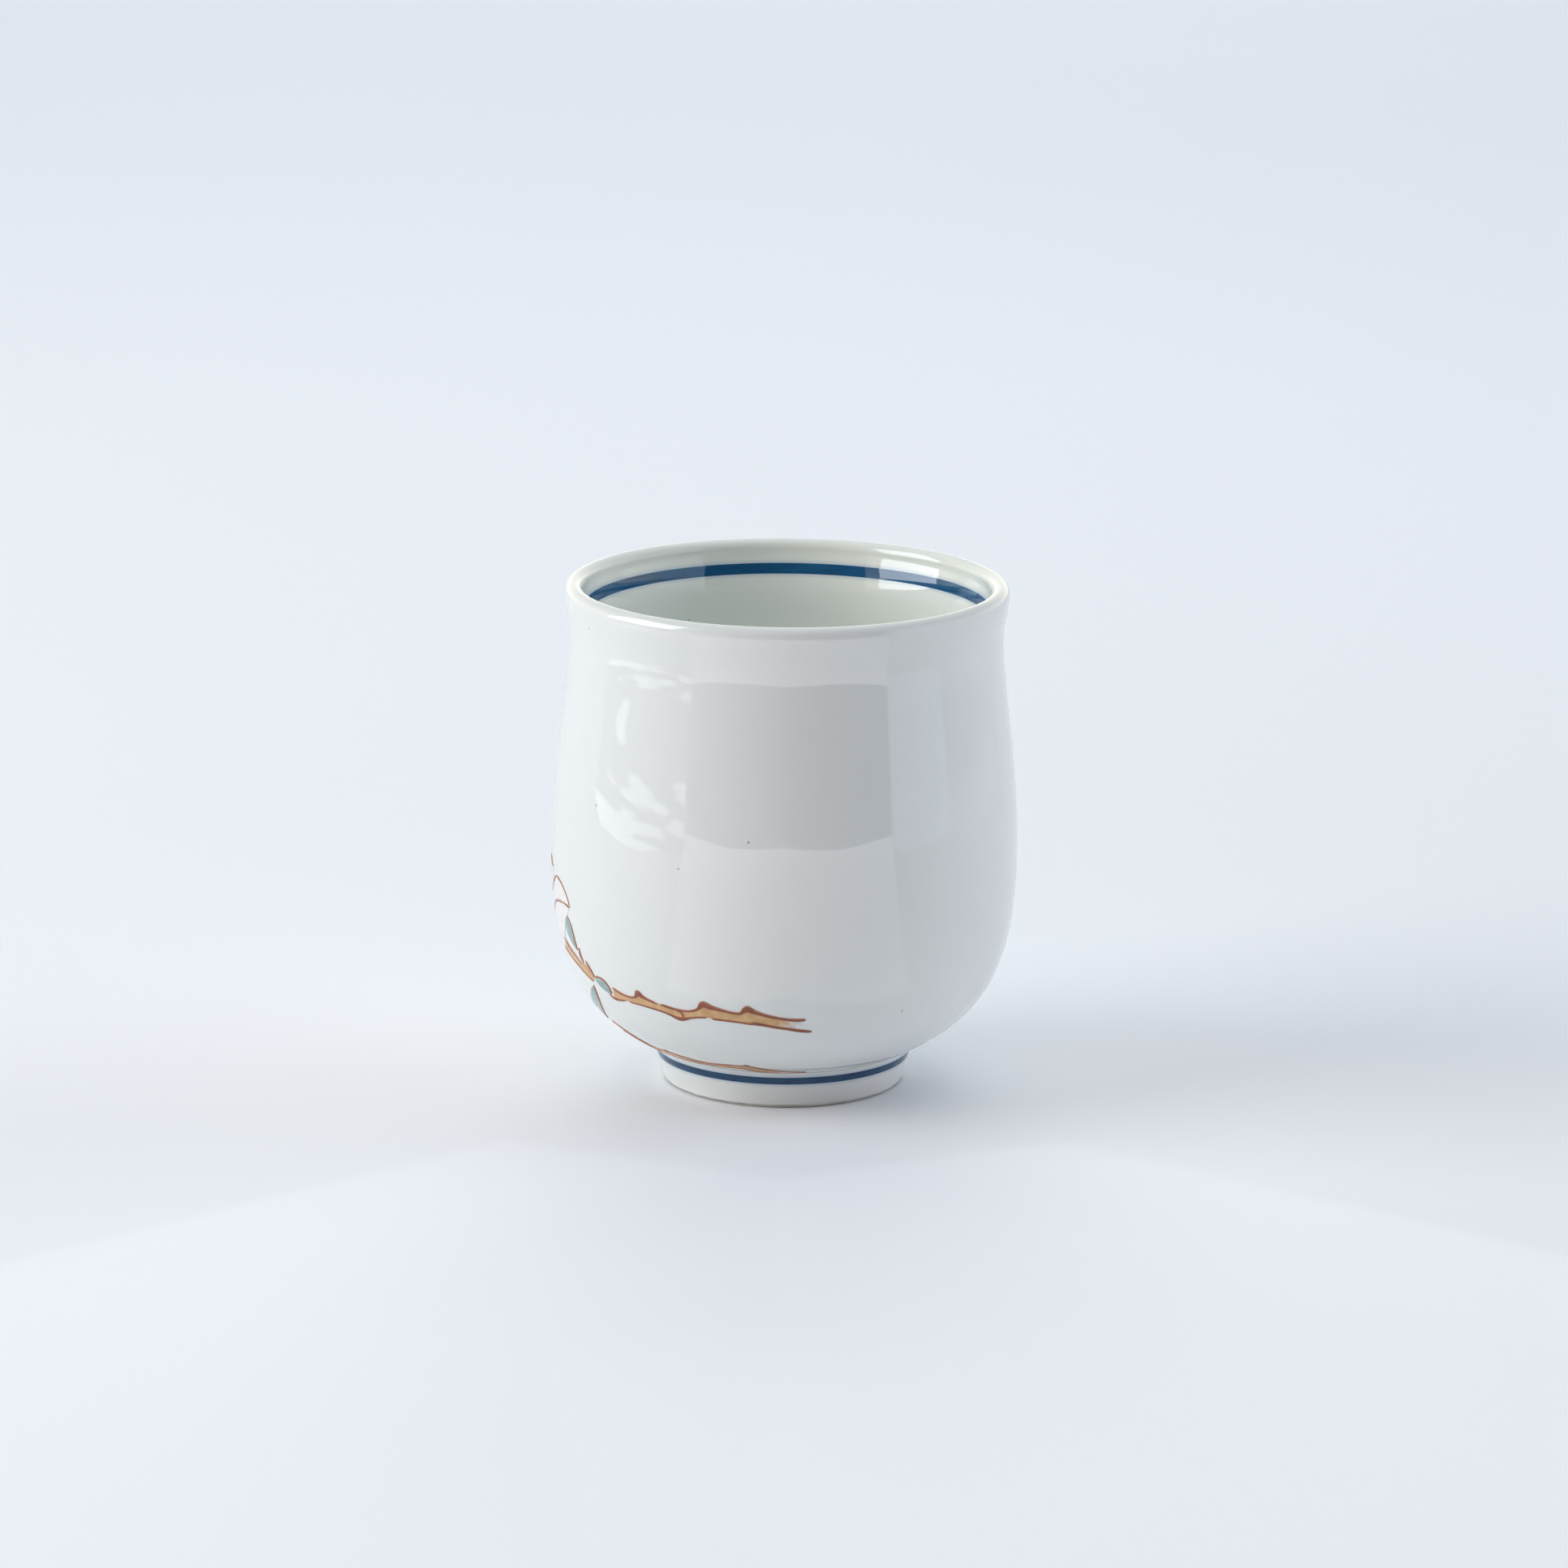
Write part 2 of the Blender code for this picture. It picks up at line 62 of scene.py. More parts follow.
# %% Camera
LOOKS_DOWN, ROLL = 13.754, 0.536
lens = bpy.data.cameras.new("camera")
lens.lens = 158.4
lens.sensor_width = 36.0
lens.clip_start, lens.clip_end = 0.05, 60.0
camera = bpy.data.objects.new("camera", lens)
tilt = Matrix.Rotation(radians(90 - LOOKS_DOWN), 3, "X") @ Matrix.Rotation(radians(ROLL), 3, "Z")
camera.rotation_euler = tilt.to_euler()
camera.location = Vector((-0.23, -1118.8, 324.3)) * MM
bpy.context.scene.collection.objects.link(camera)
bpy.context.scene.camera = camera
bpy.context.scene.view_settings.view_transform = "Standard"
print("camera stands", round(camera.location.length, 2), "m from the foot")

# %% [markdown]
# ## Colours and nodes
#
# Colours are picked as the hex values that a screen shows. Blender works in linear light, so
# one function turns them. A second function adds a shader node with its settings and its
# links in one line, which keeps each material short enough to read.

# %% Colour and node helpers
def colour(hex_value):
    """The linear colour of a hex value such as "D4AE78"."""
    parts = [int(hex_value[i : i + 2], 16) / 255 for i in (0, 2, 4)]
    linear = [p / 12.92 if p <= 0.04045 else ((p + 0.055) / 1.055) ** 2.4 for p in parts]
    return (*linear, 1.0)


def add(tree, kind, inputs=None, **settings):
    """Adds a shader node. An input is a number, a colour, or the output it is linked to."""
    node = tree.nodes.new("ShaderNode" + kind)
    for key, value in settings.items():
        setattr(node, key, value)
    for key, value in (inputs or {}).items():
        if isinstance(value, bpy.types.NodeSocket):
            tree.links.new(value, node.inputs[key])
        else:
            node.inputs[key].default_value = value
    return node


def new_material(name):
    """An empty material with its output and its Principled shader."""
    made = bpy.data.materials.new(name)
    made.use_nodes = True
    tree = made.node_tree
    return made, tree, tree.nodes["Principled BSDF"]


print("cobalt in linear light:", [round(c, 3) for c in colour("1F5F8C")])

# %% [markdown]
# ## The paper
#
# The cup stands on a wide sheet of pale, slightly blue paper. Paper is matt and has hardly any
# sheen.

# %% Floor
bpy.ops.mesh.primitive_plane_add(size=14)
floor = bpy.context.object
floor.name = "paper_floor"
print("floor:", floor.dimensions.x, "m wide")

# %% White paper
paper, tree, shader = new_material("white_paper")
place = add(tree, "TexCoord").outputs["Object"]
cloud = add(tree, "TexNoise", {"Vector": place, "Scale": 2.2, "Detail": 2.0})
whites = {"A": colour("F1F3F7"), "B": colour("F5F7FA")}
tone = add(tree, "Mix", {"Factor": cloud.outputs["Fac"], **whites}, data_type="RGBA")
tree.links.new(tone.outputs["Result"], shader.inputs["Base Color"])
shader.inputs["Roughness"].default_value = 0.75
shader.inputs["Specular IOR Level"].default_value = 0.2
floor.data.materials.append(paper)
print("nodes in the paper:", len(tree.nodes))

# %% [markdown]
# ## The room
#
# The world plays three parts, and Light Path tells the rays apart. Matt surfaces get a faint,
# warm fill, because the lamps do the real work. The glaze mirrors pale walls that darken
# towards the ceiling. The camera sees a plain, pale wall beyond the paper.

# %% Three worlds
world = bpy.data.worlds.new("studio")
bpy.context.scene.world = world
world.use_nodes = True
tree = world.node_tree
tree.nodes.clear()
fill_light = add(tree, "Background", {"Color": (1.0, 0.35, 0.35, 1.0), "Strength": 0.045})
far_wall = add(tree, "Background", {"Color": (0.84, 0.88, 0.94, 1.0), "Strength": 1.0})
direction = add(tree, "SeparateXYZ", {"Vector": add(tree, "TexCoord").outputs["Generated"]})
darkens = {"From Min": 0.1, "From Max": 0.5, "To Min": 1.55, "To Max": 0.4}
upwards = add(tree, "MapRange", {"Value": direction.outputs["Z"], **darkens})
warm_white = (1.0, 0.97, 0.82, 1.0)
walls = add(tree, "Background", {"Color": warm_white, "Strength": upwards.outputs[0]})
print("worlds:", 3)

# %% Each kind of ray gets its own
rays = add(tree, "LightPath").outputs
mirrors = {"Fac": rays["Is Glossy Ray"], 1: fill_light.outputs[0], 2: walls.outputs[0]}
lit = add(tree, "MixShader", mirrors)
looks = {"Fac": rays["Is Camera Ray"], 1: lit.outputs[0], 2: far_wall.outputs[0]}
seen = add(tree, "MixShader", looks)
add(tree, "OutputWorld", {"Surface": seen.outputs[0]})
print("nodes in the world:", len(tree.nodes))

# %% [markdown]
# ## The light
#
# Daylight comes through a window on the left. A broad soft light from above and behind makes
# the paper nearly white, while the front of the cup stays in gentle shade. Suns with a spread
# of 40 to 60 degrees stand for the light that the walls send back. A panel fades with distance,
# and a sun lights the far paper as much as the near.

# %% Lamps
def place_lamp(name, lamp, azimuth, elevation, distance):
    """Puts a lamp round the cup, at an azimuth from the front, and turns it to the cup."""
    obj = bpy.data.objects.new(name, lamp)
    bpy.context.scene.collection.objects.link(obj)
    turn, rise = radians(azimuth), radians(elevation)
    away = Vector((sin(turn) * cos(rise), -cos(turn) * cos(rise), sin(rise)))
    obj.location = away * distance + Vector((0, 0, 45.0 * MM))
    obj.rotation_euler = away.to_track_quat("Z", "Y").to_euler()
    obj.visible_glossy = False
    return obj


def sun(name, azimuth, elevation, spread, strength, tint):
    """Light from far away, the same all over the floor. The spread softens its shadow."""
    lamp = bpy.data.lights.new(name, "SUN")
    lamp.energy, lamp.color, lamp.angle = strength, tint, radians(spread)
    return place_lamp(name, lamp, azimuth, elevation, 2.0)


def panel(name, azimuth, elevation, distance, size, strength, tint):
    """A soft box, stronger on the side that faces it. No ray sees it."""
    lamp = bpy.data.lights.new(name, "AREA")
    lamp.shape = "RECTANGLE"
    lamp.size, lamp.size_y = size
    lamp.energy, lamp.color = strength, tint
    obj = place_lamp(name, lamp, azimuth, elevation, distance)
    obj.visible_camera = False
    return obj


print("lamps aim at a point 45 mm up the cup's axis")

# %% Lights
lights = [
    panel("window", -77, 24, 1.6, (1.2, 1.1), 15.0, (1.0, 0.93, 0.86)),
    panel("over", 170, 65, 1.1, (1.2, 1.2), 3.3, (0.91, 0.96, 1.0)),
    panel("floor_back", 180, 25, 2.6, (1.5, 1.5), 14.0, (0.83, 0.91, 1.0)),
    sun("back", 180, 40, 60, 0.46, (1.0, 0.98, 0.82)),
    sun("front_high", 0, 55, 50, 0.43, (1.0, 0.97, 0.96)),
    sun("left_high", -90, 50, 50, 0.44, (0.55, 0.8, 1.0)),
    sun("left_low", -90, 10, 40, 0.16, (0.1, 0.5, 1.0)),
    sun("right_high", 90, 50, 50, 0.44, (0.53, 0.79, 1.0)),
    sun("right_low", 107, 10, 40, 1.06, (0.97, 0.94, 1.0)),
]
print("lights:", ", ".join(obj.name for obj in lights))

# %% [markdown]
# ## What the glaze mirrors
#
# A glaze is a sheet of glass, so half of its look is what stands around it. The paper in front
# of the cup is brightly lit and the room beyond its edge is dark. A pale wall stands on the
# right, and plants stand in front of the window on the left. Glowing cards take their place.
# Only mirror rays see them, so they neither light the cup nor throw a shadow on it.

# %% Cards for reflections
WHITE = (1.0, 1.0, 1.0)


def card(name, azimuths, low, high, strength=1.0, tint=WHITE):
    """A card round the cup, between two azimuths. Its edges are (distance, height) in mm."""
    bpy.ops.mesh.primitive_plane_add(size=1)
    obj = bpy.context.object
    obj.name = name
    corners = [(azimuth, *edge) for edge in (low, high) for azimuth in azimuths]
    for vertex, (azimuth, distance, height) in zip(obj.data.vertices, corners):
        turn = radians(azimuth)
        vertex.co = Vector((sin(turn) * distance, -cos(turn) * distance, height)) * MM
    made, tree, _ = new_material(name)
    glow = add(tree, "Emission", {"Color": (*tint, 1.0), "Strength": strength})
    tree.links.new(glow.outputs[0], tree.nodes["Material Output"].inputs["Surface"])
    obj.data.materials.append(made)
    obj.visible_camera = obj.visible_shadow = obj.visible_diffuse = False
    return obj


def glow_of(obj):
    """The node tree of a card, and the strength that it glows with."""
    tree = obj.data.materials[0].node_tree
    glow = next(node for node in tree.nodes if node.type == "EMISSION")
    return tree, glow.inputs["Strength"]


print("a card glows white unless it is given a tint:", WHITE)

# %% The dark room, the pale wall, and a low chest at its foot
surroundings = [
    card("card_room_left", (-48, 0), (480, 0), (480, 900), 0.08, (0.7, 0.83, 1.0)),
    card("card_room_right", (0, 51.5), (480, 0), (410, 900), 0.01),
    card("card_wall", (51.5, 84), (360, 0), (360, 260), 1.5, (0.76, 0.9, 1.0)),
    card("card_chest", (84, 122), (325, 0), (325, 26), 1.0, (0.9, 0.95, 1.0)),
]
print("cards:", ", ".join(obj.name for obj in surroundings))

# %% The lit paper, which brightens towards its front edge
lit_paper = [
    card("card_paper_left", (-48, 0), (60, 0.5), (480, 0.5), tint=(0.97, 0.97, 1.0)),
    card("card_paper_right", (0, 51.5), (60, 0.5), (480, 0.5), tint=(0.97, 0.97, 1.0)),
]
for obj in lit_paper:
    tree, strength = glow_of(obj)
    place = add(tree, "TexCoord").outputs["Object"]
    away = add(tree, "VectorMath", {0: place}, operation="LENGTH").outputs["Value"]
    brightens = {"From Min": 0.08, "From Max": 0.4, "To Min": 1.4, "To Max": 1.8}
    bright = add(tree, "MapRange", {"Value": away, **brightens})
    tree.links.new(bright.outputs[0], strength)
print("cards:", ", ".join(obj.name for obj in lit_paper))

# %% The window, and plants in front of it: leaves are darker than the daylight between them
window_seen = card("card_window", (-99.5, -57.5), (420, 66), (420, 480), 7.0, (0.9, 0.96, 1.0))
plants = card("card_plants", (-103, -48), (340, 0), (340, 62), tint=(0.93, 0.97, 1.0))
tree, strength = glow_of(plants)
place = add(tree, "TexCoord").outputs["Object"]
leaf_size = add(tree, "Mapping", {"Vector": place, "Scale": (8.0, 8.0, 85.0)})
leafy = add(tree, "TexNoise", {"Vector": leaf_size.outputs[0], "Scale": 1.0, "Detail": 1.5})
leaf_or_sky = {"From Min": 0.49, "From Max": 0.54, "To Min": 0.6, "To Max": 2.4}
between_leaves = add(tree, "MapRange", {"Value": leafy.outputs["Fac"], **leaf_or_sky})
tree.links.new(between_leaves.outputs[0], strength)
print("cards:", window_seen.name, "and", plants.name)

# %% [markdown]
# ## The cup's outline
#
# A turned pot is one line swung round an axis, so the line is what has to be right. It is
# drawn with four-point curves, as in a drawing program: a belly that is widest just below the
# middle, a waist under the lip and a lip that turns out again. The inside keeps one wall
# thickness from the outside, up to the throat, and opens from there into the lip.

# %% Sizes of the body, in millimetres
BELLY = (38.95, 40.0)
WAIST = (36.1, 76.5)
RIM = (36.95, 83.5)
LIP_ROUND = 1.5
LIP_FLARE = 13.0
SEAM = (21.75, 6.5)
WALL = 3.5
THROAT_HEIGHT = 76.0
FLOOR_TOP, UNDERSIDE = 10.8, 7.0

# %% A curve through four points
def curve(start, pull_start, pull_end, end, steps):
    """Points along a curve that leaves start towards its pull and ends at end, without the end."""
    corners = [Vector(p) for p in (start, pull_start, pull_end, end)]
    points = []
    for i in range(steps):
        t = i / steps
        weights = ((1 - t) ** 3, 3 * t * (1 - t) ** 2, 3 * t * t * (1 - t), t**3)
        points.append(sum((c * w for c, w in zip(corners, weights)), Vector((0, 0))))
    return points


print("middle of an arch:", curve((0, 0), (0, 1), (1, 1), (1, 0), 2)[1][:])

# %% The outside, from the seam up to the widest point of the lip
SEAM_RISE = radians(24.5)
seam_pull = Vector(SEAM) + 14.8 * Vector((cos(SEAM_RISE), sin(SEAM_RISE)))
outside = curve(SEAM, seam_pull, (BELLY[0], 22.0), BELLY, 54)
outside += curve(BELLY, (BELLY[0], 55.0), (WAIST[0], 68.0), WAIST, 46)
outside += curve(WAIST, (WAIST[0], 79.2), (RIM[0], 81.2), RIM, 14)
outside.append(Vector(RIM))
print("outside:", len(outside), "points")

# %% The inside, one wall thickness in
def outward(points, i):
    """The direction square to an outline, away from the axis."""
    along = points[min(i + 1, len(points) - 1)] - points[max(i - 1, 0)]
    return Vector((along.y, -along.x)).normalized()


inner = [p - outward(outside, i) * WALL for i, p in enumerate(outside)]
well = next(p for p in inner if p.y > FLOOR_TOP + 1.2)
throat = next(p for p in inner if p.y > THROAT_HEIGHT)
print("the well starts", round(well.x, 1), "mm from the axis")

# %% The lip, a small round that the inside curves into
lip_centre = Vector((RIM[0] - LIP_ROUND, RIM[1]))
lip_turns = [radians((180 + LIP_FLARE) * (1 - i / 25)) for i in range(26)]
lip = [lip_centre + LIP_ROUND * Vector((cos(turn), sin(turn))) for turn in lip_turns]
print("the lip is", round(lip_centre.y + LIP_ROUND, 2), "mm high")

# %% The whole outline of the bowl
well_slope = (inner[inner.index(well) + 1] - well).normalized()
throat_slope = (inner[inner.index(throat) + 1] - throat).normalized()
lip_slope = Vector((sin(radians(LIP_FLARE)), cos(radians(LIP_FLARE))))
bowl_line = curve((0, FLOOR_TOP), (9, FLOOR_TOP), well - well_slope * 6, well, 20)
bowl_line += inner[inner.index(well) : inner.index(throat)]
bowl_line += curve(throat, throat + throat_slope, lip[0] - lip_slope * 4.6, lip[0], 18)
bowl_line += lip[:-1] + outside[::-1][1:]
bowl_line += curve(SEAM, (16, SEAM[1]), (8, UNDERSIDE), (0, UNDERSIDE), 8)[1:]
bowl_line.append(Vector((0, UNDERSIDE)))
print("outline of the bowl:", len(bowl_line), "points")

# %% [markdown]
# ## Throwing the bowl
#
# The mesh is made as the clay is. One vertex is carried along the outline by extrude, which
# leaves a line behind, and Spin swings the line round the axis in small steps. Lathing from a
# drawn line keeps every ring truly round, which stacking and scaling cylinders would not.
# The points on the axis are merged afterwards, so the poles are closed.

# %% Drawing
def first_point(name, point):
    """A new object in edit mode that is a single selected vertex."""
    bpy.ops.object.select_all(action="DESELECT")
    bpy.ops.mesh.primitive_plane_add(size=1 * MM)
    obj = bpy.context.object
    obj.name = obj.data.name = name
    bpy.ops.object.mode_set(mode="EDIT")
    bpy.ops.mesh.select_all(action="SELECT")
    bpy.ops.mesh.merge(type="CENTER")
    bpy.ops.transform.translate(value=point)
    return obj


def draw_on(points):
    """Extrudes the selected vertex from the first point through all the others."""
    for before, after in zip(points, points[1:]):
        bpy.ops.mesh.extrude_region_move(TRANSFORM_OT_translate={"value": after - before})


# %% Spinning
ROUND = 192


def throw(name, outline):
    """Draws an outline of (radius, height) in mm and spins it into a closed body."""
    points = [Vector((p[0], 0, p[1])) * MM for p in outline]
    obj = first_point(name, points[0])
    draw_on(points)
    bpy.ops.mesh.select_all(action="SELECT")
    bpy.ops.mesh.spin(steps=ROUND, angle=2 * pi, center=(0, 0, 0), axis=(0, 0, 1))
    bpy.ops.mesh.select_all(action="SELECT")
    bpy.ops.mesh.remove_doubles(threshold=1e-7)
    bpy.ops.mesh.normals_make_consistent(inside=False)
    bpy.ops.object.mode_set(mode="OBJECT")
    bpy.ops.object.shade_smooth_by_angle(angle=radians(50))
    return obj


print("one step of the wheel is", 360 / ROUND, "degrees")

# %% The bowl
def stand_for(obj, node):
    """Attaches a finished piece to the root and hides the model's piece that it takes the place
    of.
    """
    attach(obj, "root")
    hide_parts(node)


bowl = throw("porcelain_bowl", bowl_line)
stand_for(bowl, "bowl")
print("bowl:", len(bowl.data.polygons), "faces,", [round(s / MM, 2) for s in bowl.dimensions])

# %% [markdown]
# ## The foot
#
# The foot is a low ring that lifts the hot bowl off the table. It narrows a little towards the
# table, its inside opens a little, and its lower edges are softened with a wet sponge, because
# sharp clay chips. It is thrown from its own outline, like the bowl, and ends just under the
# bowl's seam, so that no two faces lie in each other.

# %% Sides of the foot
FOOT_TAPER, BORE_TAPER, FOOT_WALL = 0.27, 0.08, 5.0


def foot_side(height):
    """The outer radius of the foot at a height."""
    return SEAM[0] - FOOT_TAPER * (SEAM[1] - height)


def foot_bore(height):
    """The inner radius of the foot at a height."""
    return SEAM[0] - FOOT_WALL - BORE_TAPER * (height - SEAM[1])


print("foot at the table:", round(foot_side(0), 2), "and", round(foot_bore(0), 2), "mm")

# %% The foot
def soften(before, corner, after, size, steps=5):
    """A corner of an outline rounded off, cut back by size along both sides."""
    start = corner + (before - corner).normalized() * size
    end = corner + (after - corner).normalized() * size
    return curve(start, corner.lerp(start, 0.45), corner.lerp(end, 0.45), end, steps) + [end]


foot_top = SEAM[1] - 0.02
top_out, top_in = Vector((foot_side(foot_top), foot_top)), Vector((foot_bore(foot_top), foot_top))
toe_out, toe_in = Vector((foot_side(0), 0)), Vector((foot_bore(0), 0))
foot_line = [top_in, *curve(top_in, top_in, top_out, top_out, 3)[1:], top_out]
foot_line += curve(top_out, top_out, toe_out, toe_out, 14)[1:-1]
foot_line += soften(top_out, toe_out, toe_in, 0.55) + soften(toe_out, toe_in, top_in, 0.6)
foot_line += curve(toe_in, toe_in, top_in, top_in, 8)[1:] + [top_in]
foot = throw("porcelain_foot", foot_line)
stand_for(foot, "foot_ring")
print("foot:", len(foot.data.polygons), "faces,", [round(s / MM, 2) for s in foot.dimensions])

# %% [markdown]
# ## The cobalt rings
#
# Cobalt is brushed on the raw clay while the pot turns, and the glaze covers it, so the ring is
# flush with the glaze: only its colour shows. Each ring is a thin hoop that stands a few
# hundredths of a millimetre out of the wall, with its edges sunk into it.

# %% A hoop on an outline
LIP_RING, FOOT_RING = (79.35, 81.05), (4.45, 5.6)
PROUD, SUNK, EDGE = 0.04, 0.12, 0.1


def radius_at(line, height):
    """Where an outline that rises crosses a height."""
    for low, high in zip(line, line[1:]):
        if low.y <= height <= high.y:
            return low.lerp(high, (height - low.y) / (high.y - low.y)).x
    raise ValueError(height)


def hoop(name, line, low, high, side):
    """A thin ring on an outline, proud of it on one side, whose edges thin out into the wall."""
    heights = [low - EDGE + (high - low + 2 * EDGE) * i / 8 for i in range(9)]
    bulge = [PROUD * sin(pi * i / 8) - 0.004 for i in range(9)]
    face = [Vector((radius_at(line, h) + side * b, h)) for h, b in zip(heights, bulge)]
    back = [Vector((radius_at(line, h) - side * SUNK, h)) for h in reversed(heights)]
    return throw(name, face + back + face[:1])


print("rings from and to:", LIP_RING, "and", FOOT_RING, "mm")

# %% Two rings
inside_line = bowl_line[: bowl_line.index(lip[0])]
lip_band = hoop("cobalt_ring_lip", inside_line, *LIP_RING, -1)
stand_for(lip_band, "lip_band")
foot_band = hoop("cobalt_ring_foot", [toe_out, top_out], *FOOT_RING, 1)
stand_for(foot_band, "foot_band")
print("rings:", len(lip_band.data.polygons), "and", len(foot_band.data.polygons), "faces")

# %% [markdown]
# ## Laying enamel on the wall
#
# Overglaze enamel is a coloured glass that stands up a tenth of a millimetre. A place in the
# painting is given as a painter would measure it on the pot: degrees round from the front, and
# millimetres up the wall from the foot's seam. The two edges of a brush stroke are drawn on the
# wall and bridged into a strip, Shrinkwrap lays it on the bowl, Solidify gives it its thickness
# and Subdivision Surface rounds it off as melted glass is.

# %% Places on the wall
climb = [0.0]
for low, high in zip(outside, outside[1:]):
    climb.append(climb[-1] + (high - low).length)


def wall_radius(up):
    """(radius, height) in mm of the point so far up the wall."""
    i = min(max(bisect_right(climb, up) - 1, 0), len(climb) - 2)
    return outside[i].lerp(outside[i + 1], (up - climb[i]) / (climb[i + 1] - climb[i]))


def on_wall(angle, up):
    """The place in the model's frame. Angle 0 is the front and angles grow to the right."""
    p = wall_radius(up)
    turn = radians(angle)
    return Vector((p.x * sin(turn), -p.x * cos(turn), p.y)) * MM


def degree(up):
    """How many millimetres one degree is, so far up the wall."""
    return radians(wall_radius(up).x)


print("wall is", round(climb[-1], 1), "mm long; a degree at 20 mm is", round(degree(20), 2), "mm")

# %% A smooth run through a few given rows
STEP = 0.45


def bend_through(b, s, e, a, t):
    """A number between s and e, on a smooth curve that comes from b and goes on to a."""
    rest = t * (2 * b - 5 * s + 4 * e - a + t * (3 * s - b - 3 * e + a))
    return s + 0.5 * t * (e - b + rest)


def smooth(rows):
    """Rows on a smooth curve through the given rows, about a step apart in mm."""
    ends = [rows[0], *rows, rows[-1]]
    run = []
    for four in zip(ends, ends[1:], ends[2:], ends[3:]):
        _, start, end, _ = four
        span = hypot((end[0] - start[0]) * degree(start[1]), end[1] - start[1])
        count = max(1, ceil(span / STEP))
        for i in range(count):
            run.append(tuple(bend_through(*numbers, i / count) for numbers in zip(*four)))
    return run + [rows[-1]]


print("a run of 2 mm has", len(smooth([(0, 0), (0, 2)])), "rows")


# %% Which way a sheet faces
def face_out(obj):
    """Turns an open sheet so that its faces look away from the axis."""
    looks = sum(f.normal.dot(f.center.normalized()) * f.area for f in obj.data.polygons)
    if looks < 0:
        bpy.ops.object.mode_set(mode="EDIT")
        bpy.ops.mesh.select_all(action="SELECT")
        bpy.ops.mesh.flip_normals()
        bpy.ops.object.mode_set(mode="OBJECT")


# %% What the finish has to know about a stroke
def mark_edges(obj, one, other, fades_from):
    """Stores how far from the middle of a stroke each vertex is, and how far it has faded."""
    tree = KDTree(len(one))
    for i, (a, b) in enumerate(zip(one, other)):
        tree.insert((a + b) / 2, i)
    tree.balance()
    edge = obj.data.attributes.new("edge", "FLOAT", "POINT")
    fade = obj.data.attributes.new("fade", "FLOAT", "POINT")
    for vertex in obj.data.vertices:
        middle, i, _ = tree.find(vertex.co)
        half = (one[i] - other[i]) / 2
        share = abs((vertex.co - middle).dot(half)) / max(half.length_squared, 1e-12)
        edge.data[vertex.index].value = min(share, 1.0)
        along = i / len(one)
        fade.data[vertex.index].value = max(along - fades_from, 0) / max(1 - fades_from, 1e-6)


# %% Enamel between two edges
STANDS_OUT = 0.7


def enamel(name, one, other, across, thickness, fades_from=1.0):
    """A raised sheet of enamel on the wall between two edges of (angle, up) points."""
    one, other = [on_wall(*p) for p in one], [on_wall(*p) for p in other]
    obj = first_point(name, one[0])
    draw_on(one)
    bpy.ops.mesh.duplicate_move(TRANSFORM_OT_translate={"value": other[-1] - one[-1]})
    draw_on(other[::-1])
    bpy.ops.mesh.select_all(action="SELECT")
    bpy.ops.mesh.bridge_edge_loops(number_cuts=across - 1, interpolation="LINEAR")
    bpy.ops.object.mode_set(mode="OBJECT")
    face_out(obj)
    laid = obj.modifiers.new("laid", "SHRINKWRAP")
    laid.target, laid.wrap_method = bowl, "NEAREST_SURFACEPOINT"
    body = obj.modifiers.new("body", "SOLIDIFY")
    body.thickness, body.offset = thickness * MM, STANDS_OUT
    melt = obj.modifiers.new("melt", "SUBSURF")
    melt.levels = melt.render_levels = 1
    for modifier in (laid, body, melt):
        bpy.ops.object.modifier_apply(modifier=modifier.name)
    bpy.ops.object.shade_smooth()
    mark_edges(obj, one, other, fades_from)
    return obj


print("share of the enamel that stands out of the glaze:", (1 + STANDS_OUT) / 2)

# %% A brush line, thick where the brush is pressed
PRESS = 1.35
LINE_THICK, LINE_ACROSS = 0.16, 2


def brush(name, points):
    """A line through (angle, up, width) points, or (angle, up, width, swell on its left)."""
    rows = smooth([(*p, 0.0)[:4] for p in points])
    left, right = [], []
    for i, (angle, up, width, swell) in enumerate(rows):
        before, after = rows[max(i - 1, 0)], rows[min(i + 1, len(rows) - 1)]
        scale = degree(up)
        ahead = Vector(((after[0] - before[0]) * scale, after[1] - before[1])).normalized()
        half = width * PRESS / 2
        for side, reach in ((left, half + max(swell, 0)), (right, -half)):
            side.append((angle - ahead.y * reach / scale, up + ahead.x * reach))
    return enamel(name, left, right, LINE_ACROSS, LINE_THICK)


print("lines are", LINE_THICK, "mm thick")

# %% A fill, the colour washed in between the lines
FILL_THICK = 0.1


def fill(name, rows, across, fades_from):
    """A patch through (angle, up, angle, up) rows, each a point on one edge and its mate."""
    run = smooth(rows)
    one, other = [row[:2] for row in run], [row[2:] for row in run]
    return enamel(name, one, other, across, FILL_THICK, fades_from)


print("washes are", FILL_THICK, "mm thick")

# %% [markdown]
# ## The upper branch
#
# A bare branch runs round the front of the cup, a little above the foot. It is outlined in
# iron red, thick at the knots, and washed in ochre. The outline is broken here and there,
# where the brush was lifted, and its right end is left open. A few points and the width at
# each are enough for a stroke, because the curve through them bends as a brush does.

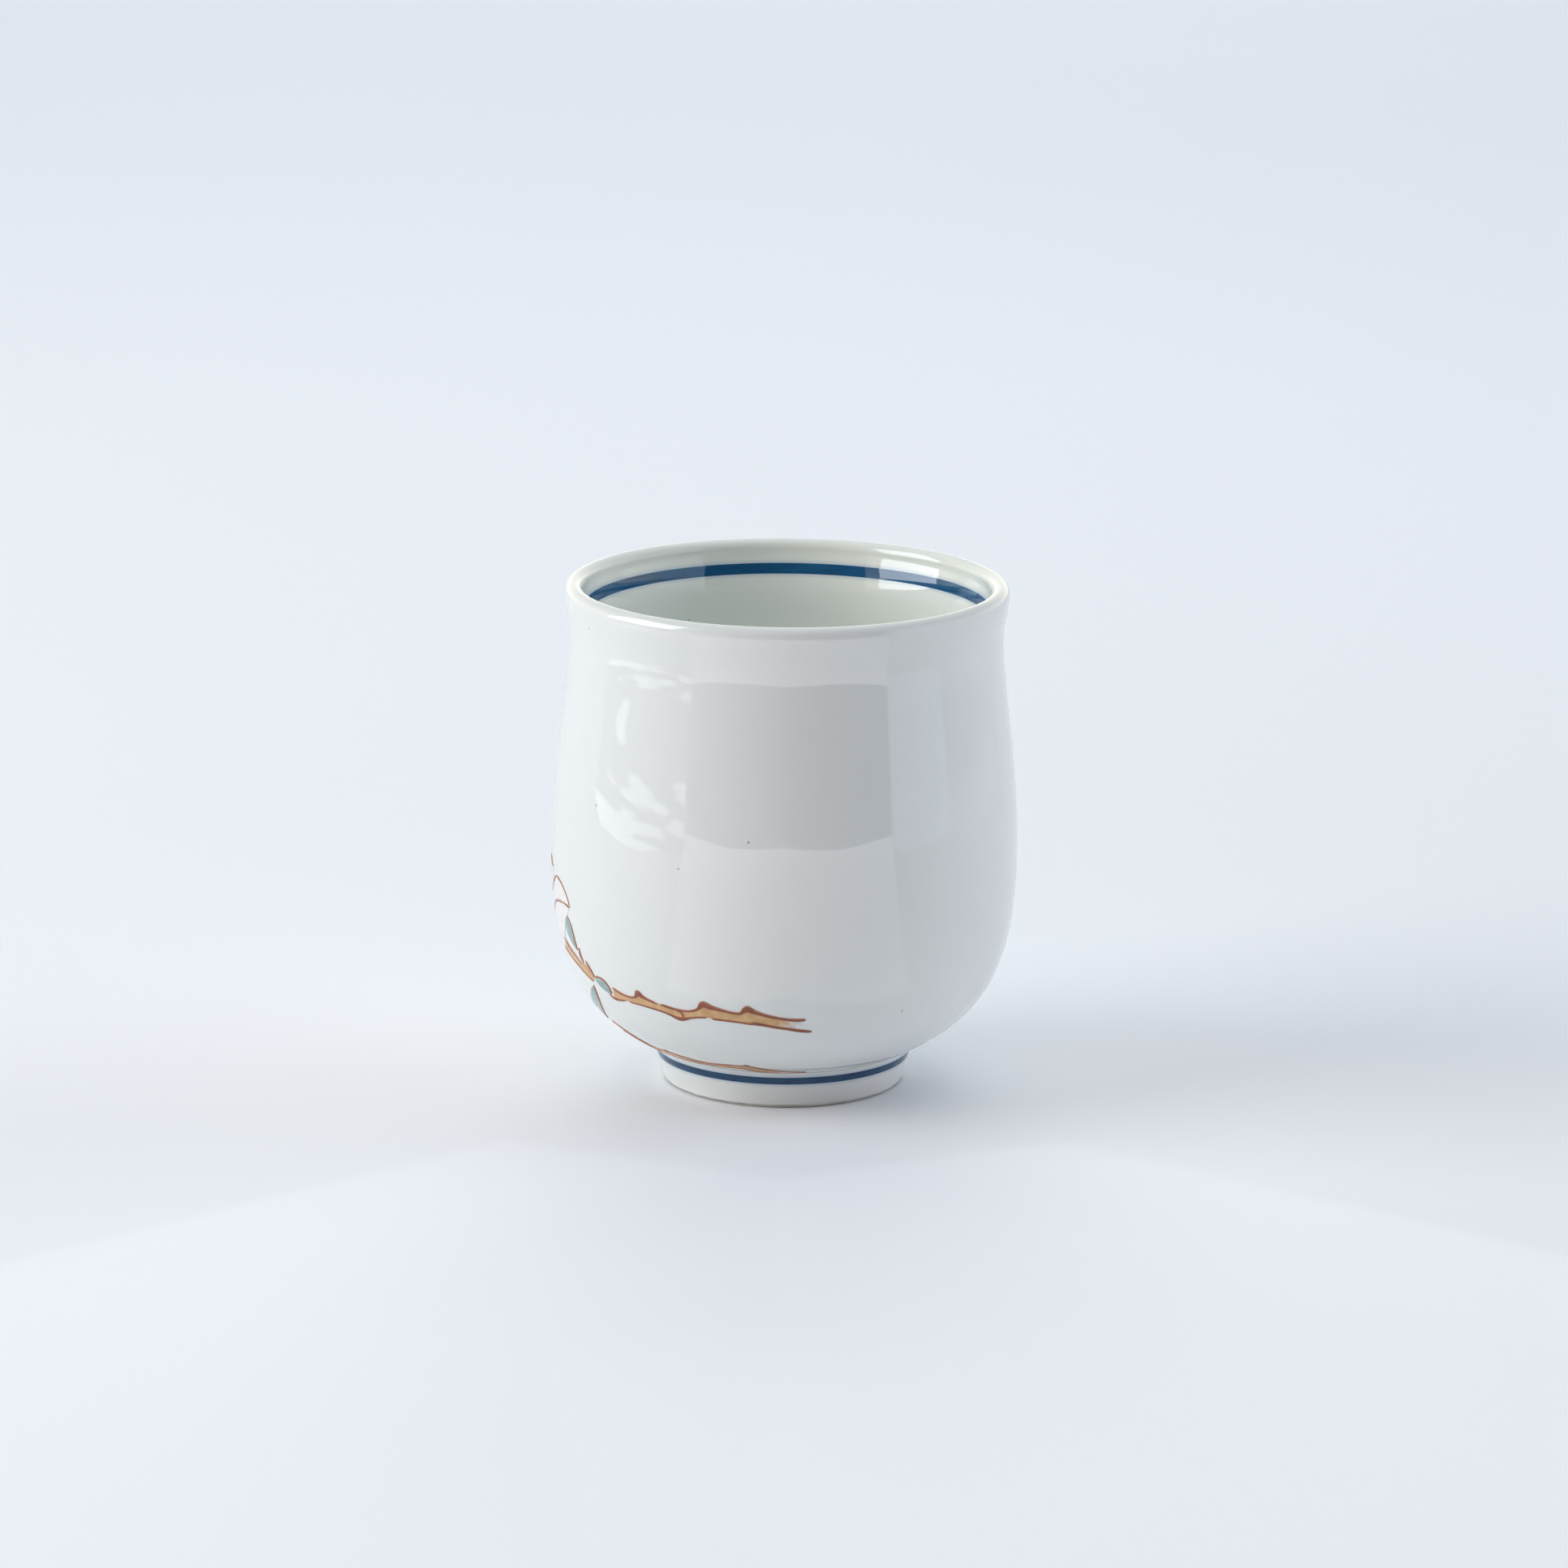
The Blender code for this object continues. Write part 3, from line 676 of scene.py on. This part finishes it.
# %% Outline of the upper branch
THIN = 0.12
top_left = [
    (-50.6, 21.5, THIN), (-49.6, 21.35, 0.34), (-47.7, 20.95, 0.36), (-45.0, 20.7, 0.3),
    (-43.2, 20.75, 0.3), (-42.0, 21.0, 0.4), (-41.3, 21.35, 0.5, 0.35), (-40.7, 21.55, 0.6, 0.75),
    (-40.2, 21.5, 0.6, 0.55), (-39.4, 21.35, 0.6, 0.1), (-37.8, 21.05, 0.45), (-36.0, 20.75, 0.36),
    (-34.7, 20.55, 0.14),
]
top_right = [
    (-33.8, 20.6, 0.14), (-33.2, 20.55, 0.36), (-31.3, 20.3, 0.42), (-29.0, 20.1, 0.4),
    (-26.6, 20.05, 0.38), (-24.4, 20.3, 0.36), (-22.7, 20.8, 0.42), (-21.7, 21.35, 0.55, 0.25),
    (-21.0, 21.6, 0.7, 0.55), (-20.3, 21.6, 0.8, 0.35), (-19.0, 21.4, 0.8, 0.05),
    (-16.8, 21.15, 0.55), (-14.2, 20.8, 0.4), (-12.0, 20.65, 0.38), (-10.9, 20.8, 0.5),
    (-10.0, 21.2, 0.6, 0.3), (-9.3, 21.4, 0.75, 0.5), (-8.6, 21.35, 0.8, 0.3),
    (-7.3, 21.05, 0.7), (-5.0, 20.6, 0.5), (-2.0, 20.1, 0.42), (1.0, 19.75, 0.42),
    (4.0, 19.6, 0.5), (5.4, 19.65, 0.4), (6.0, 19.7, THIN),
]
base_left = [
    (-53.2, 20.0, THIN), (-52.4, 19.6, 0.34), (-51.0, 19.3, 0.5), (-49.0, 19.35, 0.42),
    (-46.9, 19.6, 0.3), (-46.3, 19.65, THIN),
]
base_middle = [
    (-44.9, 19.6, THIN), (-44.2, 19.6, 0.3), (-41.0, 19.6, 0.34), (-37.5, 19.45, 0.36),
    (-34.5, 19.25, 0.4), (-31.8, 18.85, 0.42), (-30.2, 18.45, 0.6), (-28.6, 18.2, 0.75),
    (-27.0, 18.4, 0.6), (-25.2, 18.8, 0.4), (-23.0, 19.1, 0.34), (-21.2, 19.2, 0.28),
    (-20.5, 19.2, THIN),
]
base_right = [
    (-19.2, 19.15, THIN), (-18.6, 19.1, 0.34), (-15.0, 19.0, 0.36), (-11.6, 18.85, 0.36),
    (-8.8, 18.6, 0.34), (-7.6, 18.75, 0.62), (-5.0, 18.5, 0.56), (-2.0, 18.1, 0.52),
    (1.0, 17.75, 0.5), (4.4, 17.3, 0.52), (6.8, 17.1, 0.46), (7.9, 17.05, THIN),
]
joint = [
    (-29.4, 19.95, 0.2), (-28.2, 19.75, 0.3), (-27.4, 19.25, 0.42), (-27.6, 18.75, 0.34),
    (-28.0, 18.5, 0.2),
]
red_lines = {
    "line_upper_top_left": top_left,
    "line_upper_top_right": top_right,
    "line_upper_base_left": base_left,
    "line_upper_base_middle": base_middle,
    "line_upper_base_right": base_right,
    "line_upper_joint": joint,
}
print("lines:", ", ".join(red_lines))

# %% Wash of the upper branch
wash_left = [
    (-51.2, 19.5, -50.4, 21.3), (-48.0, 19.5, -47.8, 21.0), (-45.0, 19.6, -45.0, 20.75),
    (-42.3, 19.6, -42.3, 20.9), (-40.8, 19.6, -40.8, 21.5), (-39.0, 19.55, -39.0, 21.25),
    (-36.5, 19.4, -36.5, 20.85), (-34.0, 19.15, -34.0, 20.6), (-31.0, 18.65, -31.0, 20.3),
    (-28.3, 18.3, -28.7, 20.1),
]
wash_right = [
    (-28.4, 18.25, -28.8, 20.05), (-26.0, 18.65, -26.0, 20.1), (-24.0, 19.0, -24.0, 20.4),
    (-22.0, 19.15, -22.0, 21.2), (-20.4, 19.2, -20.4, 21.5), (-18.0, 19.1, -18.0, 21.3),
    (-15.0, 19.0, -15.0, 20.9), (-12.0, 18.85, -12.0, 20.65), (-10.2, 18.75, -10.2, 21.0),
    (-8.6, 18.65, -8.6, 21.3), (-5.5, 18.5, -5.5, 20.7), (-2.0, 18.1, -2.0, 20.1),
    (1.0, 17.9, 1.0, 19.6), (3.4, 18.1, 3.4, 19.2), (4.6, 18.5, 4.6, 18.8),
]
washes = {"branch_upper_left": wash_left, "branch_upper_right": wash_right}
print("washes:", ", ".join(washes))

# %% [markdown]
# ## The lower branch
#
# A second branch grows out of the leaves on the left and runs down to the foot, where the belly
# turns under. It is thinner, and only its near edge shows from above.

# %% Outline and wash of the lower branch
lower_top = [
    (-66.5, 11.2, THIN), (-64.0, 10.6, 0.22), (-61.5, 9.6, 0.22), (-57.5, 7.6, 0.23),
    (-54.0, 5.7, 0.23), (-50.0, 5.4, 0.22), (-47.4, 5.6, 0.24), (-46.0, 5.7, 0.4, 0.5),
    (-44.6, 5.45, 0.24), (-40.5, 5.0, 0.22), (-36.0, 4.2, 0.22), (-29.0, 3.8, 0.22),
    (-23.0, 4.3, 0.22), (-17.0, 4.5, 0.23), (-14.4, 4.7, 0.26), (-13.3, 4.8, 0.42, 0.45),
    (-12.1, 4.6, 0.26), (-9.0, 3.9, 0.23), (-4.0, 2.9, 0.23), (0.5, 2.0, 0.24),
    (4.8, 1.6, 0.24), (8.0, 1.3, 0.22), (9.8, 1.15, THIN),
]
lower_base = [
    (-66.0, 8.6, THIN), (-63.5, 7.9, 0.2), (-61.0, 7.0, 0.22), (-57.5, 5.3, 0.22),
    (-54.0, 3.6, 0.22), (-50.0, 3.0, 0.22), (-46.0, 2.9, 0.22), (-42.0, 2.7, 0.22),
    (-36.0, 2.5, 0.22), (-30.0, 2.6, 0.22), (-24.0, 2.7, 0.22), (-18.0, 2.8, 0.23),
    (-14.0, 2.4, 0.23), (-11.0, 1.4, 0.23), (-7.0, 0.9, 0.22), (-3.0, 0.75, 0.22),
    (1.0, 0.75, 0.2), (4.6, 0.85, THIN),
]
wash_lower = [
    (-65.4, 8.6, -64.6, 10.6), (-61.5, 7.1, -61.5, 9.5), (-57.5, 5.3, -57.5, 7.6),
    (-54.0, 3.6, -54.0, 5.7), (-50.0, 3.0, -50.0, 5.4), (-46.0, 2.9, -46.0, 5.7),
    (-42.0, 2.7, -42.0, 5.1), (-36.0, 2.5, -36.0, 4.2), (-30.0, 2.6, -30.0, 3.9),
    (-24.0, 2.7, -24.0, 4.2), (-18.0, 2.8, -18.0, 4.45), (-13.5, 2.3, -13.5, 4.7),
    (-10.0, 1.3, -10.0, 4.1), (-7.0, 0.9, -7.0, 3.5), (-3.0, 0.75, -3.0, 2.7),
    (1.0, 0.75, 1.0, 1.9), (4.4, 0.9, 4.4, 1.6),
]
red_lines["line_lower_top"] = lower_top
red_lines["line_lower_base"] = lower_base
washes["branch_lower"] = wash_lower
print("lines:", len(red_lines), "washes:", len(washes))

# %% [markdown]
# ## Stem, leaves and blossom
#
# On the left the branch turns up into a stem with three leaves, and a five-petalled blossom
# opens above it. The leaves are celadon green, the petals a thin white, and both are outlined
# with the same iron red.

# %% Stem and twig
washes["stem"] = [
    (-75.4, 24.9, -74.0, 26.3), (-71.5, 24.0, -70.6, 25.4), (-68.0, 23.4, -67.2, 24.7),
    (-65.0, 22.7, -63.8, 24.1), (-62.6, 22.1, -61.4, 24.0), (-60.8, 21.7, -59.8, 23.6),
    (-58.9, 21.5, -58.3, 22.4),
]
red_lines["line_stem_base"] = [
    (-76.0, 25.0, THIN), (-75.0, 24.6, 0.26), (-72.5, 24.1, 0.28), (-70.0, 23.65, 0.3),
    (-66.5, 22.95, 0.3), (-63.5, 22.2, 0.32), (-61.0, 21.6, 0.32), (-59.4, 21.3, 0.14),
]
red_lines["line_stem_top"] = [
    (-73.8, 26.7, THIN), (-72.6, 26.2, 0.28), (-70.4, 25.6, 0.3), (-67.6, 24.9, 0.32),
    (-65.4, 24.25, 0.34), (-64.3, 24.0, 0.16),
]
red_lines["line_stem_right"] = [
    (-60.9, 24.9, THIN), (-60.6, 24.6, 0.36), (-59.9, 24.05, 0.42), (-59.0, 23.3, 0.4),
    (-58.1, 22.4, 0.24),
]
red_lines["twig"] = [
    (-63.3, 26.8, THIN), (-63.5, 26.2, 0.4), (-63.4, 25.4, 0.55), (-62.7, 24.6, 0.4),
    (-62.3, 24.2, 0.2),
]
print("strokes so far:", len(red_lines) + len(washes))

# %% Leaves
leaves = {
    "leaf_tall": [
        (-65.9, 26.2, -65.0, 26.1), (-68.4, 27.2, -65.4, 27.4), (-70.4, 28.3, -65.8, 28.5),
        (-71.1, 29.6, -66.3, 29.8), (-70.7, 30.6, -67.6, 30.8), (-69.6, 31.3, -68.9, 31.4),
    ],
    "leaf_small": [
        (-58.3, 21.8, -57.8, 22.2), (-56.6, 20.75, -56.0, 22.45), (-54.8, 20.2, -54.0, 22.3),
        (-53.2, 19.9, -52.5, 21.6), (-52.1, 19.75, -51.8, 20.4),
    ],
    "leaf_low": [
        (-61.2, 20.1, -60.6, 20.0), (-64.4, 18.9, -61.3, 17.9), (-67.6, 17.2, -63.0, 16.1),
        (-70.9, 15.4, -65.4, 14.1), (-73.2, 13.6, -68.0, 12.6), (-73.6, 12.0, -70.6, 11.4),
    ],
}
red_lines["line_leaf_tall"] = [
    (-64.6, 26.1, THIN), (-65.1, 27.3, 0.3), (-65.6, 28.6, 0.26), (-66.2, 29.8, 0.22),
    (-67.4, 30.8, 0.2), (-68.8, 31.5, THIN),
]
red_lines["line_leaf_small"] = [
    (-58.2, 22.3, THIN), (-57.0, 22.55, 0.26), (-55.6, 22.65, 0.26), (-53.8, 22.45, 0.3),
    (-52.4, 21.7, 0.3), (-51.8, 20.7, 0.26), (-51.7, 20.1, THIN),
]
red_lines["line_leaf_low"] = [
    (-60.5, 20.4, THIN), (-60.8, 18.9, 0.34), (-62.0, 16.8, 0.3), (-64.4, 14.5, 0.26),
    (-67.2, 12.7, 0.24), (-70.4, 11.1, THIN),
]
print("leaves:", len(leaves))

# %% Petals
FINE = 0.15
petals = {
    "petal_front": [
        (-86.0, 28.9, -86.0, 29.6), (-83.0, 27.4, -83.0, 31.0), (-80.0, 26.5, -80.0, 32.0),
        (-77.0, 26.0, -77.0, 32.7), (-73.5, 27.2, -73.5, 33.1), (-70.0, 30.6, -70.0, 33.3),
        (-66.8, 32.9, -66.8, 33.3),
    ],
    "petal_right": [
        (-86.0, 29.9, -86.0, 32.9), (-83.0, 31.3, -83.0, 34.2), (-80.0, 32.3, -80.0, 35.6),
        (-77.0, 33.0, -77.0, 36.8), (-73.5, 33.4, -73.5, 36.7), (-70.0, 33.5, -70.2, 36.0),
        (-67.0, 33.6, -67.4, 34.5),
    ],
    "petal_back": [
        (-98.5, 32.4, -99.2, 33.6), (-96.0, 32.0, -96.8, 36.0), (-92.6, 32.0, -92.8, 37.9),
        (-89.4, 32.4, -89.0, 38.4), (-86.6, 33.2, -85.4, 38.0), (-83.0, 34.6, -82.0, 37.8),
    ],
    "petal_left": [
        (-87.4, 28.2, -87.4, 31.9), (-91.0, 27.0, -91.0, 31.7), (-95.0, 27.2, -95.0, 31.7),
        (-99.0, 28.6, -99.0, 32.0), (-102.5, 30.8, -102.5, 31.9),
    ],
}
red_lines["line_petal_front"] = [
    (-86.4, 29.4, THIN), (-83.0, 31.0, FINE), (-80.0, 32.0, FINE), (-77.0, 32.8, FINE),
    (-73.5, 33.2, FINE), (-70.0, 33.4, FINE), (-67.2, 33.3, 0.3), (-66.2, 33.5, THIN),
]
red_lines["line_petal_right"] = [
    (-86.2, 32.9, THIN), (-83.0, 34.3, FINE), (-80.0, 35.8, FINE), (-77.4, 36.9, FINE),
    (-74.6, 37.1, FINE), (-71.4, 36.5, FINE), (-69.0, 35.6, FINE), (-67.4, 34.6, FINE),
    (-66.5, 33.7, THIN),
]
red_lines["line_petal_back"] = [
    (-100.2, 33.4, THIN), (-97.4, 36.0, FINE), (-93.4, 38.0, FINE), (-89.2, 38.6, FINE),
    (-85.4, 38.2, FINE), (-83.0, 37.9, FINE), (-81.0, 38.1, THIN),
]
print("petals:", len(petals))

# %% [markdown]
# ## Painting the cup
#
# Washes go on first and outlines over them, as a painter works. Each stroke is a piece of its
# own and stands for the model's stroke of the same name. The two branches run dry towards
# their right ends, so each is told from which part of its length on it fades.

# %% Lay the washes, leaves and petals
FADES_FROM = {"branch_upper_right": 0.76, "branch_lower": 0.85}
fills = (
    ("wash", "ochre_enamel", washes, 3),
    ("leaf", "celadon_enamel", leaves, 4),
    ("petal", "white_enamel", petals, 6),
)
painted = {}
for kind, slot, shapes, across in fills:
    painted[kind] = []
    for node, rows in shapes.items():
        piece = fill("enamel_" + node, rows, across, FADES_FROM.get(node, 1.0))
        stand_for(piece, node)
        painted[kind].append(piece)
print({kind: len(made) for kind, made in painted.items()})

# %% Draw the lines
painted["line"] = []
for node, points in red_lines.items():
    piece = brush("enamel_" + node, points)
    stand_for(piece, node)
    painted["line"].append(piece)
print("lines:", len(painted["line"]))

# %% [markdown]
# ## Materials
#
# Every finish here is a glass. Its colour comes from what lies in it or under it, and its gloss
# from how smooth the fire left it. Patterns read Object coordinates, which are metres on the
# cup, so a noise of scale 1000 has features about 1 mm wide.
#
# ### Glazed porcelain
#
# Porcelain is a white clay that melts partly to glass. The bowl was thrown, turned and dipped in
# a clear feldspar glaze, which the kiln melted to a mirror. The eye sees a cool, even white,
# and reflections that waver a little, because the thrower's fingers left faint rings.

# %% The white of the glaze
PAINTED_LIGHT_FROM = 45.0


def glaze_white(tree, place, height, within):
    """Clouds 25 mm wide where the glaze is thick or thin. Inside, painted light makes it whiter.
    """
    cloud = add(tree, "TexNoise", {"Vector": place, "Scale": 40.0, "Detail": 2.0})
    cool = {"A": colour("EBF0EE"), "B": colour("EFF3F1")}
    white = add(tree, "Mix", {"Factor": cloud.outputs["Fac"], **cool}, data_type="RGBA")
    # Painted light: high inside the bowl the glaze is a lighter white, which brightens the inside
    # wall.
    above = add(tree, "Math", {0: height, 1: PAINTED_LIGHT_FROM * MM}, operation="GREATER_THAN")
    inside = add(tree, "Math", {0: within, 1: above.outputs[0]}, operation="MULTIPLY")
    warmer = {"A": white.outputs["Result"], "B": colour("F4F9F2")}
    mixed = add(tree, "Mix", {"Factor": inside.outputs[0], **warmer}, data_type="RGBA")
    return mixed.outputs["Result"]


print("inside, the glaze is whiter above", PAINTED_LIGHT_FROM, "mm")

# %% Cobalt that bleeds into the glaze
BLEED = 0.7


def with_bleed(tree, white, height, within, ring):
    """A pale blue haze on either side of a ring, on that ring's wall only."""
    middle, half = sum(ring) / 2, (ring[1] - ring[0]) / 2
    off = add(tree, "Math", {0: height, 1: middle * MM}, operation="SUBTRACT")
    off = add(tree, "Math", {0: off.outputs[0]}, operation="ABSOLUTE")
    reach = {"From Min": (half + BLEED) * MM, "From Max": half * MM, "To Max": 0.55}
    haze = add(tree, "MapRange", {"Value": off.outputs[0], **reach})
    haze = add(tree, "Math", {0: haze.outputs[0], 1: within}, operation="MULTIPLY")
    blue = {"A": white, "B": colour("A3BEDB")}
    mixed = add(tree, "Mix", {"Factor": haze.outputs[0], **blue}, data_type="RGBA")
    return mixed.outputs["Result"]


print("haze beside a ring:", BLEED, "mm")

# %% Iron specks
def with_specks(tree, white, place):
    """A dot 0.4 mm across wherever a cell 9 mm wide has its centre on the surface."""
    cell = add(tree, "TexVoronoi", {"Vector": place, "Scale": 110.0})
    dot = {"From Min": 0.03, "From Max": 0.015, "To Max": 0.6}
    speck = add(tree, "MapRange", {"Value": cell.outputs["Distance"], **dot})
    iron = {"A": white, "B": colour("6E6660")}
    mixed = add(tree, "Mix", {"Factor": speck.outputs[0], **iron}, data_type="RGBA")
    return mixed.outputs["Result"]


print("cells of", round(1 / 110 / MM, 1), "mm, and few of them have a speck")

# %% Marks of throwing
def throwing_marks(tree, place):
    """Rings 2 to 4 mm apart, by noise that changes fastest with height, and a faint ripple."""
    squash = add(tree, "Mapping", {"Vector": place, "Scale": (12.0, 12.0, 420.0)})
    rings = add(tree, "TexNoise", {"Vector": squash.outputs[0], "Scale": 1.0, "Detail": 1.0})
    peel = add(tree, "TexNoise", {"Vector": place, "Scale": 170.0, "Detail": 1.0})
    both = {0: rings.outputs["Fac"], 1: peel.outputs["Fac"]}
    relief = add(tree, "Math", both, operation="ADD")
    low = {"Height": relief.outputs[0], "Strength": 0.07, "Distance": 0.1 * MM}
    return add(tree, "Bump", low).outputs[0]


print("rings of", round(1 / 420 / MM, 1), "mm and ripples of", round(1 / 170 / MM, 1), "mm")

# %% Glazed porcelain
GLASS_SMOOTH, GLASS_IOR = 0.018, 1.52


def glazed(name, ring, ring_within):
    """Clear glaze over porcelain, with a haze by one ring and bare clay where it stands."""
    made, tree, shader = new_material(name)
    place = add(tree, "TexCoord").outputs["Object"]
    height = add(tree, "SeparateXYZ", {"Vector": place}).outputs["Z"]
    flat = add(tree, "VectorMath", {0: place, 1: (1.0, 1.0, 0.0)}, operation="MULTIPLY")
    from_axis = add(tree, "VectorMath", {0: flat.outputs["Vector"]}, operation="LENGTH")
    near = {0: from_axis.outputs["Value"], 1: ring_within * MM}
    within = add(tree, "Math", near, operation="LESS_THAN").outputs[0]
    white = glaze_white(tree, place, height, within)
    white = with_specks(tree, with_bleed(tree, white, height, within, ring), place)
    # The rim that stands on the table is wiped clean of glaze, and the bare clay is warm and dull.
    wiped = {"From Min": 0.5 * MM, "From Max": 0.2 * MM, "To Max": 0.7}
    bare = add(tree, "MapRange", {"Value": height, **wiped}).outputs[0]
    clay = {"A": white, "B": colour("D2CAC2")}
    body = add(tree, "Mix", {"Factor": bare, **clay}, data_type="RGBA")
    gloss = add(tree, "MapRange", {"Value": bare, "To Min": GLASS_SMOOTH, "To Max": 0.6})
    tree.links.new(body.outputs["Result"], shader.inputs["Base Color"])
    tree.links.new(gloss.outputs[0], shader.inputs["Roughness"])
    tree.links.new(throwing_marks(tree, place), shader.inputs["Normal"])
    shader.inputs["IOR"].default_value = GLASS_IOR
    return made


bowl.data.materials.append(glazed("glazed_porcelain", LIP_RING, 35.0))
foot.data.materials.append(glazed("glazed_porcelain_foot", FOOT_RING, 30.0))
print("nodes in the glaze:", len(bowl.data.materials[0].node_tree.nodes))

# %% [markdown]
# ### Cobalt under the glaze
#
# Cobalt oxide in water is brushed on the turning pot, and the kiln makes it blue. The glaze
# lies over it, so it is as glossy as the rest of the cup, and the brush drags it into fine
# streaks. It is thin on the lip, where blue shows. At the foot it is painted a darker navy,
# which is painted shade, because the foot ring stands in the shadow of the belly.

# %% Cobalt
def cobalt(name, dark, light):
    """Cobalt blue in streaks 4 mm long and 0.5 mm high, round the cup."""
    made, tree, shader = new_material(name)
    place = add(tree, "TexCoord").outputs["Object"]
    drag = add(tree, "Mapping", {"Vector": place, "Scale": (260.0, 260.0, 1900.0)})
    streak = add(tree, "TexNoise", {"Vector": drag.outputs[0], "Scale": 1.0, "Detail": 3.0})
    blues = {"A": colour(dark), "B": colour(light)}
    tone = add(tree, "Mix", {"Factor": streak.outputs["Fac"], **blues}, data_type="RGBA")
    tree.links.new(tone.outputs["Result"], shader.inputs["Base Color"])
    shader.inputs["IOR"].default_value = GLASS_IOR
    shader.inputs["Roughness"].default_value = GLASS_SMOOTH
    return made


lip_band.data.materials.append(cobalt("cobalt_thin", "12476F", "2A6B9A"))
# Painted shade: the foot's cobalt is a darker copy, for the foot ring in the shadow of the belly.
foot_band.data.materials.append(cobalt("cobalt_foot_painted_shade", "0A3356", "1F567F"))
print("cobalt on", lip_band.name, "and", foot_band.name)

# %% [markdown]
# ### Enamel over the glaze
#
# Enamel is ground lead glass with a metal oxide in it. It is painted on the fired glaze and
# melts in a second, cooler firing, which leaves it raised and less glossy than the glaze. A
# stroke is cloudy where the brush laid it unevenly, takes another shade at its edge, where
# it thins, and lets the glaze through in grains where the brush runs dry.

# %% The colour of a stroke
def stroke_colour(tree, dark, light, edge_shade):
    """Grains 1 to 2 mm wide of two shades, a third at the edges, and glaze where it fades."""
    place = add(tree, "TexCoord").outputs["Object"]
    cloud = add(tree, "TexNoise", {"Vector": place, "Scale": 700.0, "Detail": 3.0})
    sharper = {"Value": cloud.outputs["Fac"], "From Min": 0.35, "From Max": 0.65}
    share = add(tree, "MapRange", sharper)
    shades = {"A": colour(dark), "B": colour(light)}
    tone = add(tree, "Mix", {"Factor": share.outputs[0], **shades}, data_type="RGBA")
    across = add(tree, "Attribute", attribute_name="edge").outputs["Fac"]
    rim = add(tree, "MapRange", {"Value": across, "From Min": 0.5, "From Max": 1.0})
    thins = {"A": tone.outputs["Result"], "B": colour(edge_shade)}
    rimmed = add(tree, "Mix", {"Factor": rim.outputs[0], **thins}, data_type="RGBA")
    dry = add(tree, "Attribute", attribute_name="fade").outputs["Fac"]
    grain = add(tree, "Math", {0: dry, 1: cloud.outputs["Fac"]}, operation="ADD")
    gone = add(tree, "MapRange", {"Value": grain.outputs[0], "From Min": 0.72, "From Max": 1.25})
    glaze = {"A": rimmed.outputs["Result"], "B": colour("E9ECEA")}
    laid = add(tree, "Mix", {"Factor": gone.outputs[0], **glaze}, data_type="RGBA")
    return laid.outputs["Result"]


print("grains of colour:", round(1 / 700 / MM, 1), "mm")

# %% Four enamels
def enamel_finish(name, dark, light, edge_shade, roughness):
    """Coloured lead glass, denser than the glaze and so with a higher IOR."""
    made, tree, shader = new_material(name)
    paint = stroke_colour(tree, dark, light, edge_shade)
    tree.links.new(paint, shader.inputs["Base Color"])
    shader.inputs["IOR"].default_value = 1.6
    shader.inputs["Roughness"].default_value = roughness
    return made


finishes = {
    # Ochre has iron in a yellow glass: warm, and a shade deeper where it gathers at an edge.
    "wash": enamel_finish("ochre_enamel", "CDA16E", "DEB783", "C99A64", 0.25),
    # Iron red holds little glass: dense and the dullest, and orange where a line thins out.
    "line": enamel_finish("iron_red_enamel", "824127", "985636", "CC8258", 0.3),
    # Celadon green has copper in a clear glass: see-through, and pale where it thins.
    "leaf": enamel_finish("celadon_enamel", "7C9C9A", "9AB6B4", "B4CACA", 0.2),
    # White has tin in it: opaque, and a little warmer and softer than the glaze round it.
    "petal": enamel_finish("white_enamel", "F1F0EE", "F6F5F2", "F0EBE8", 0.15),
}
for kind, made in painted.items():
    for piece in made:
        piece.data.materials.append(finishes[kind])
print("enamels:", ", ".join(finish.name for finish in finishes.values()))
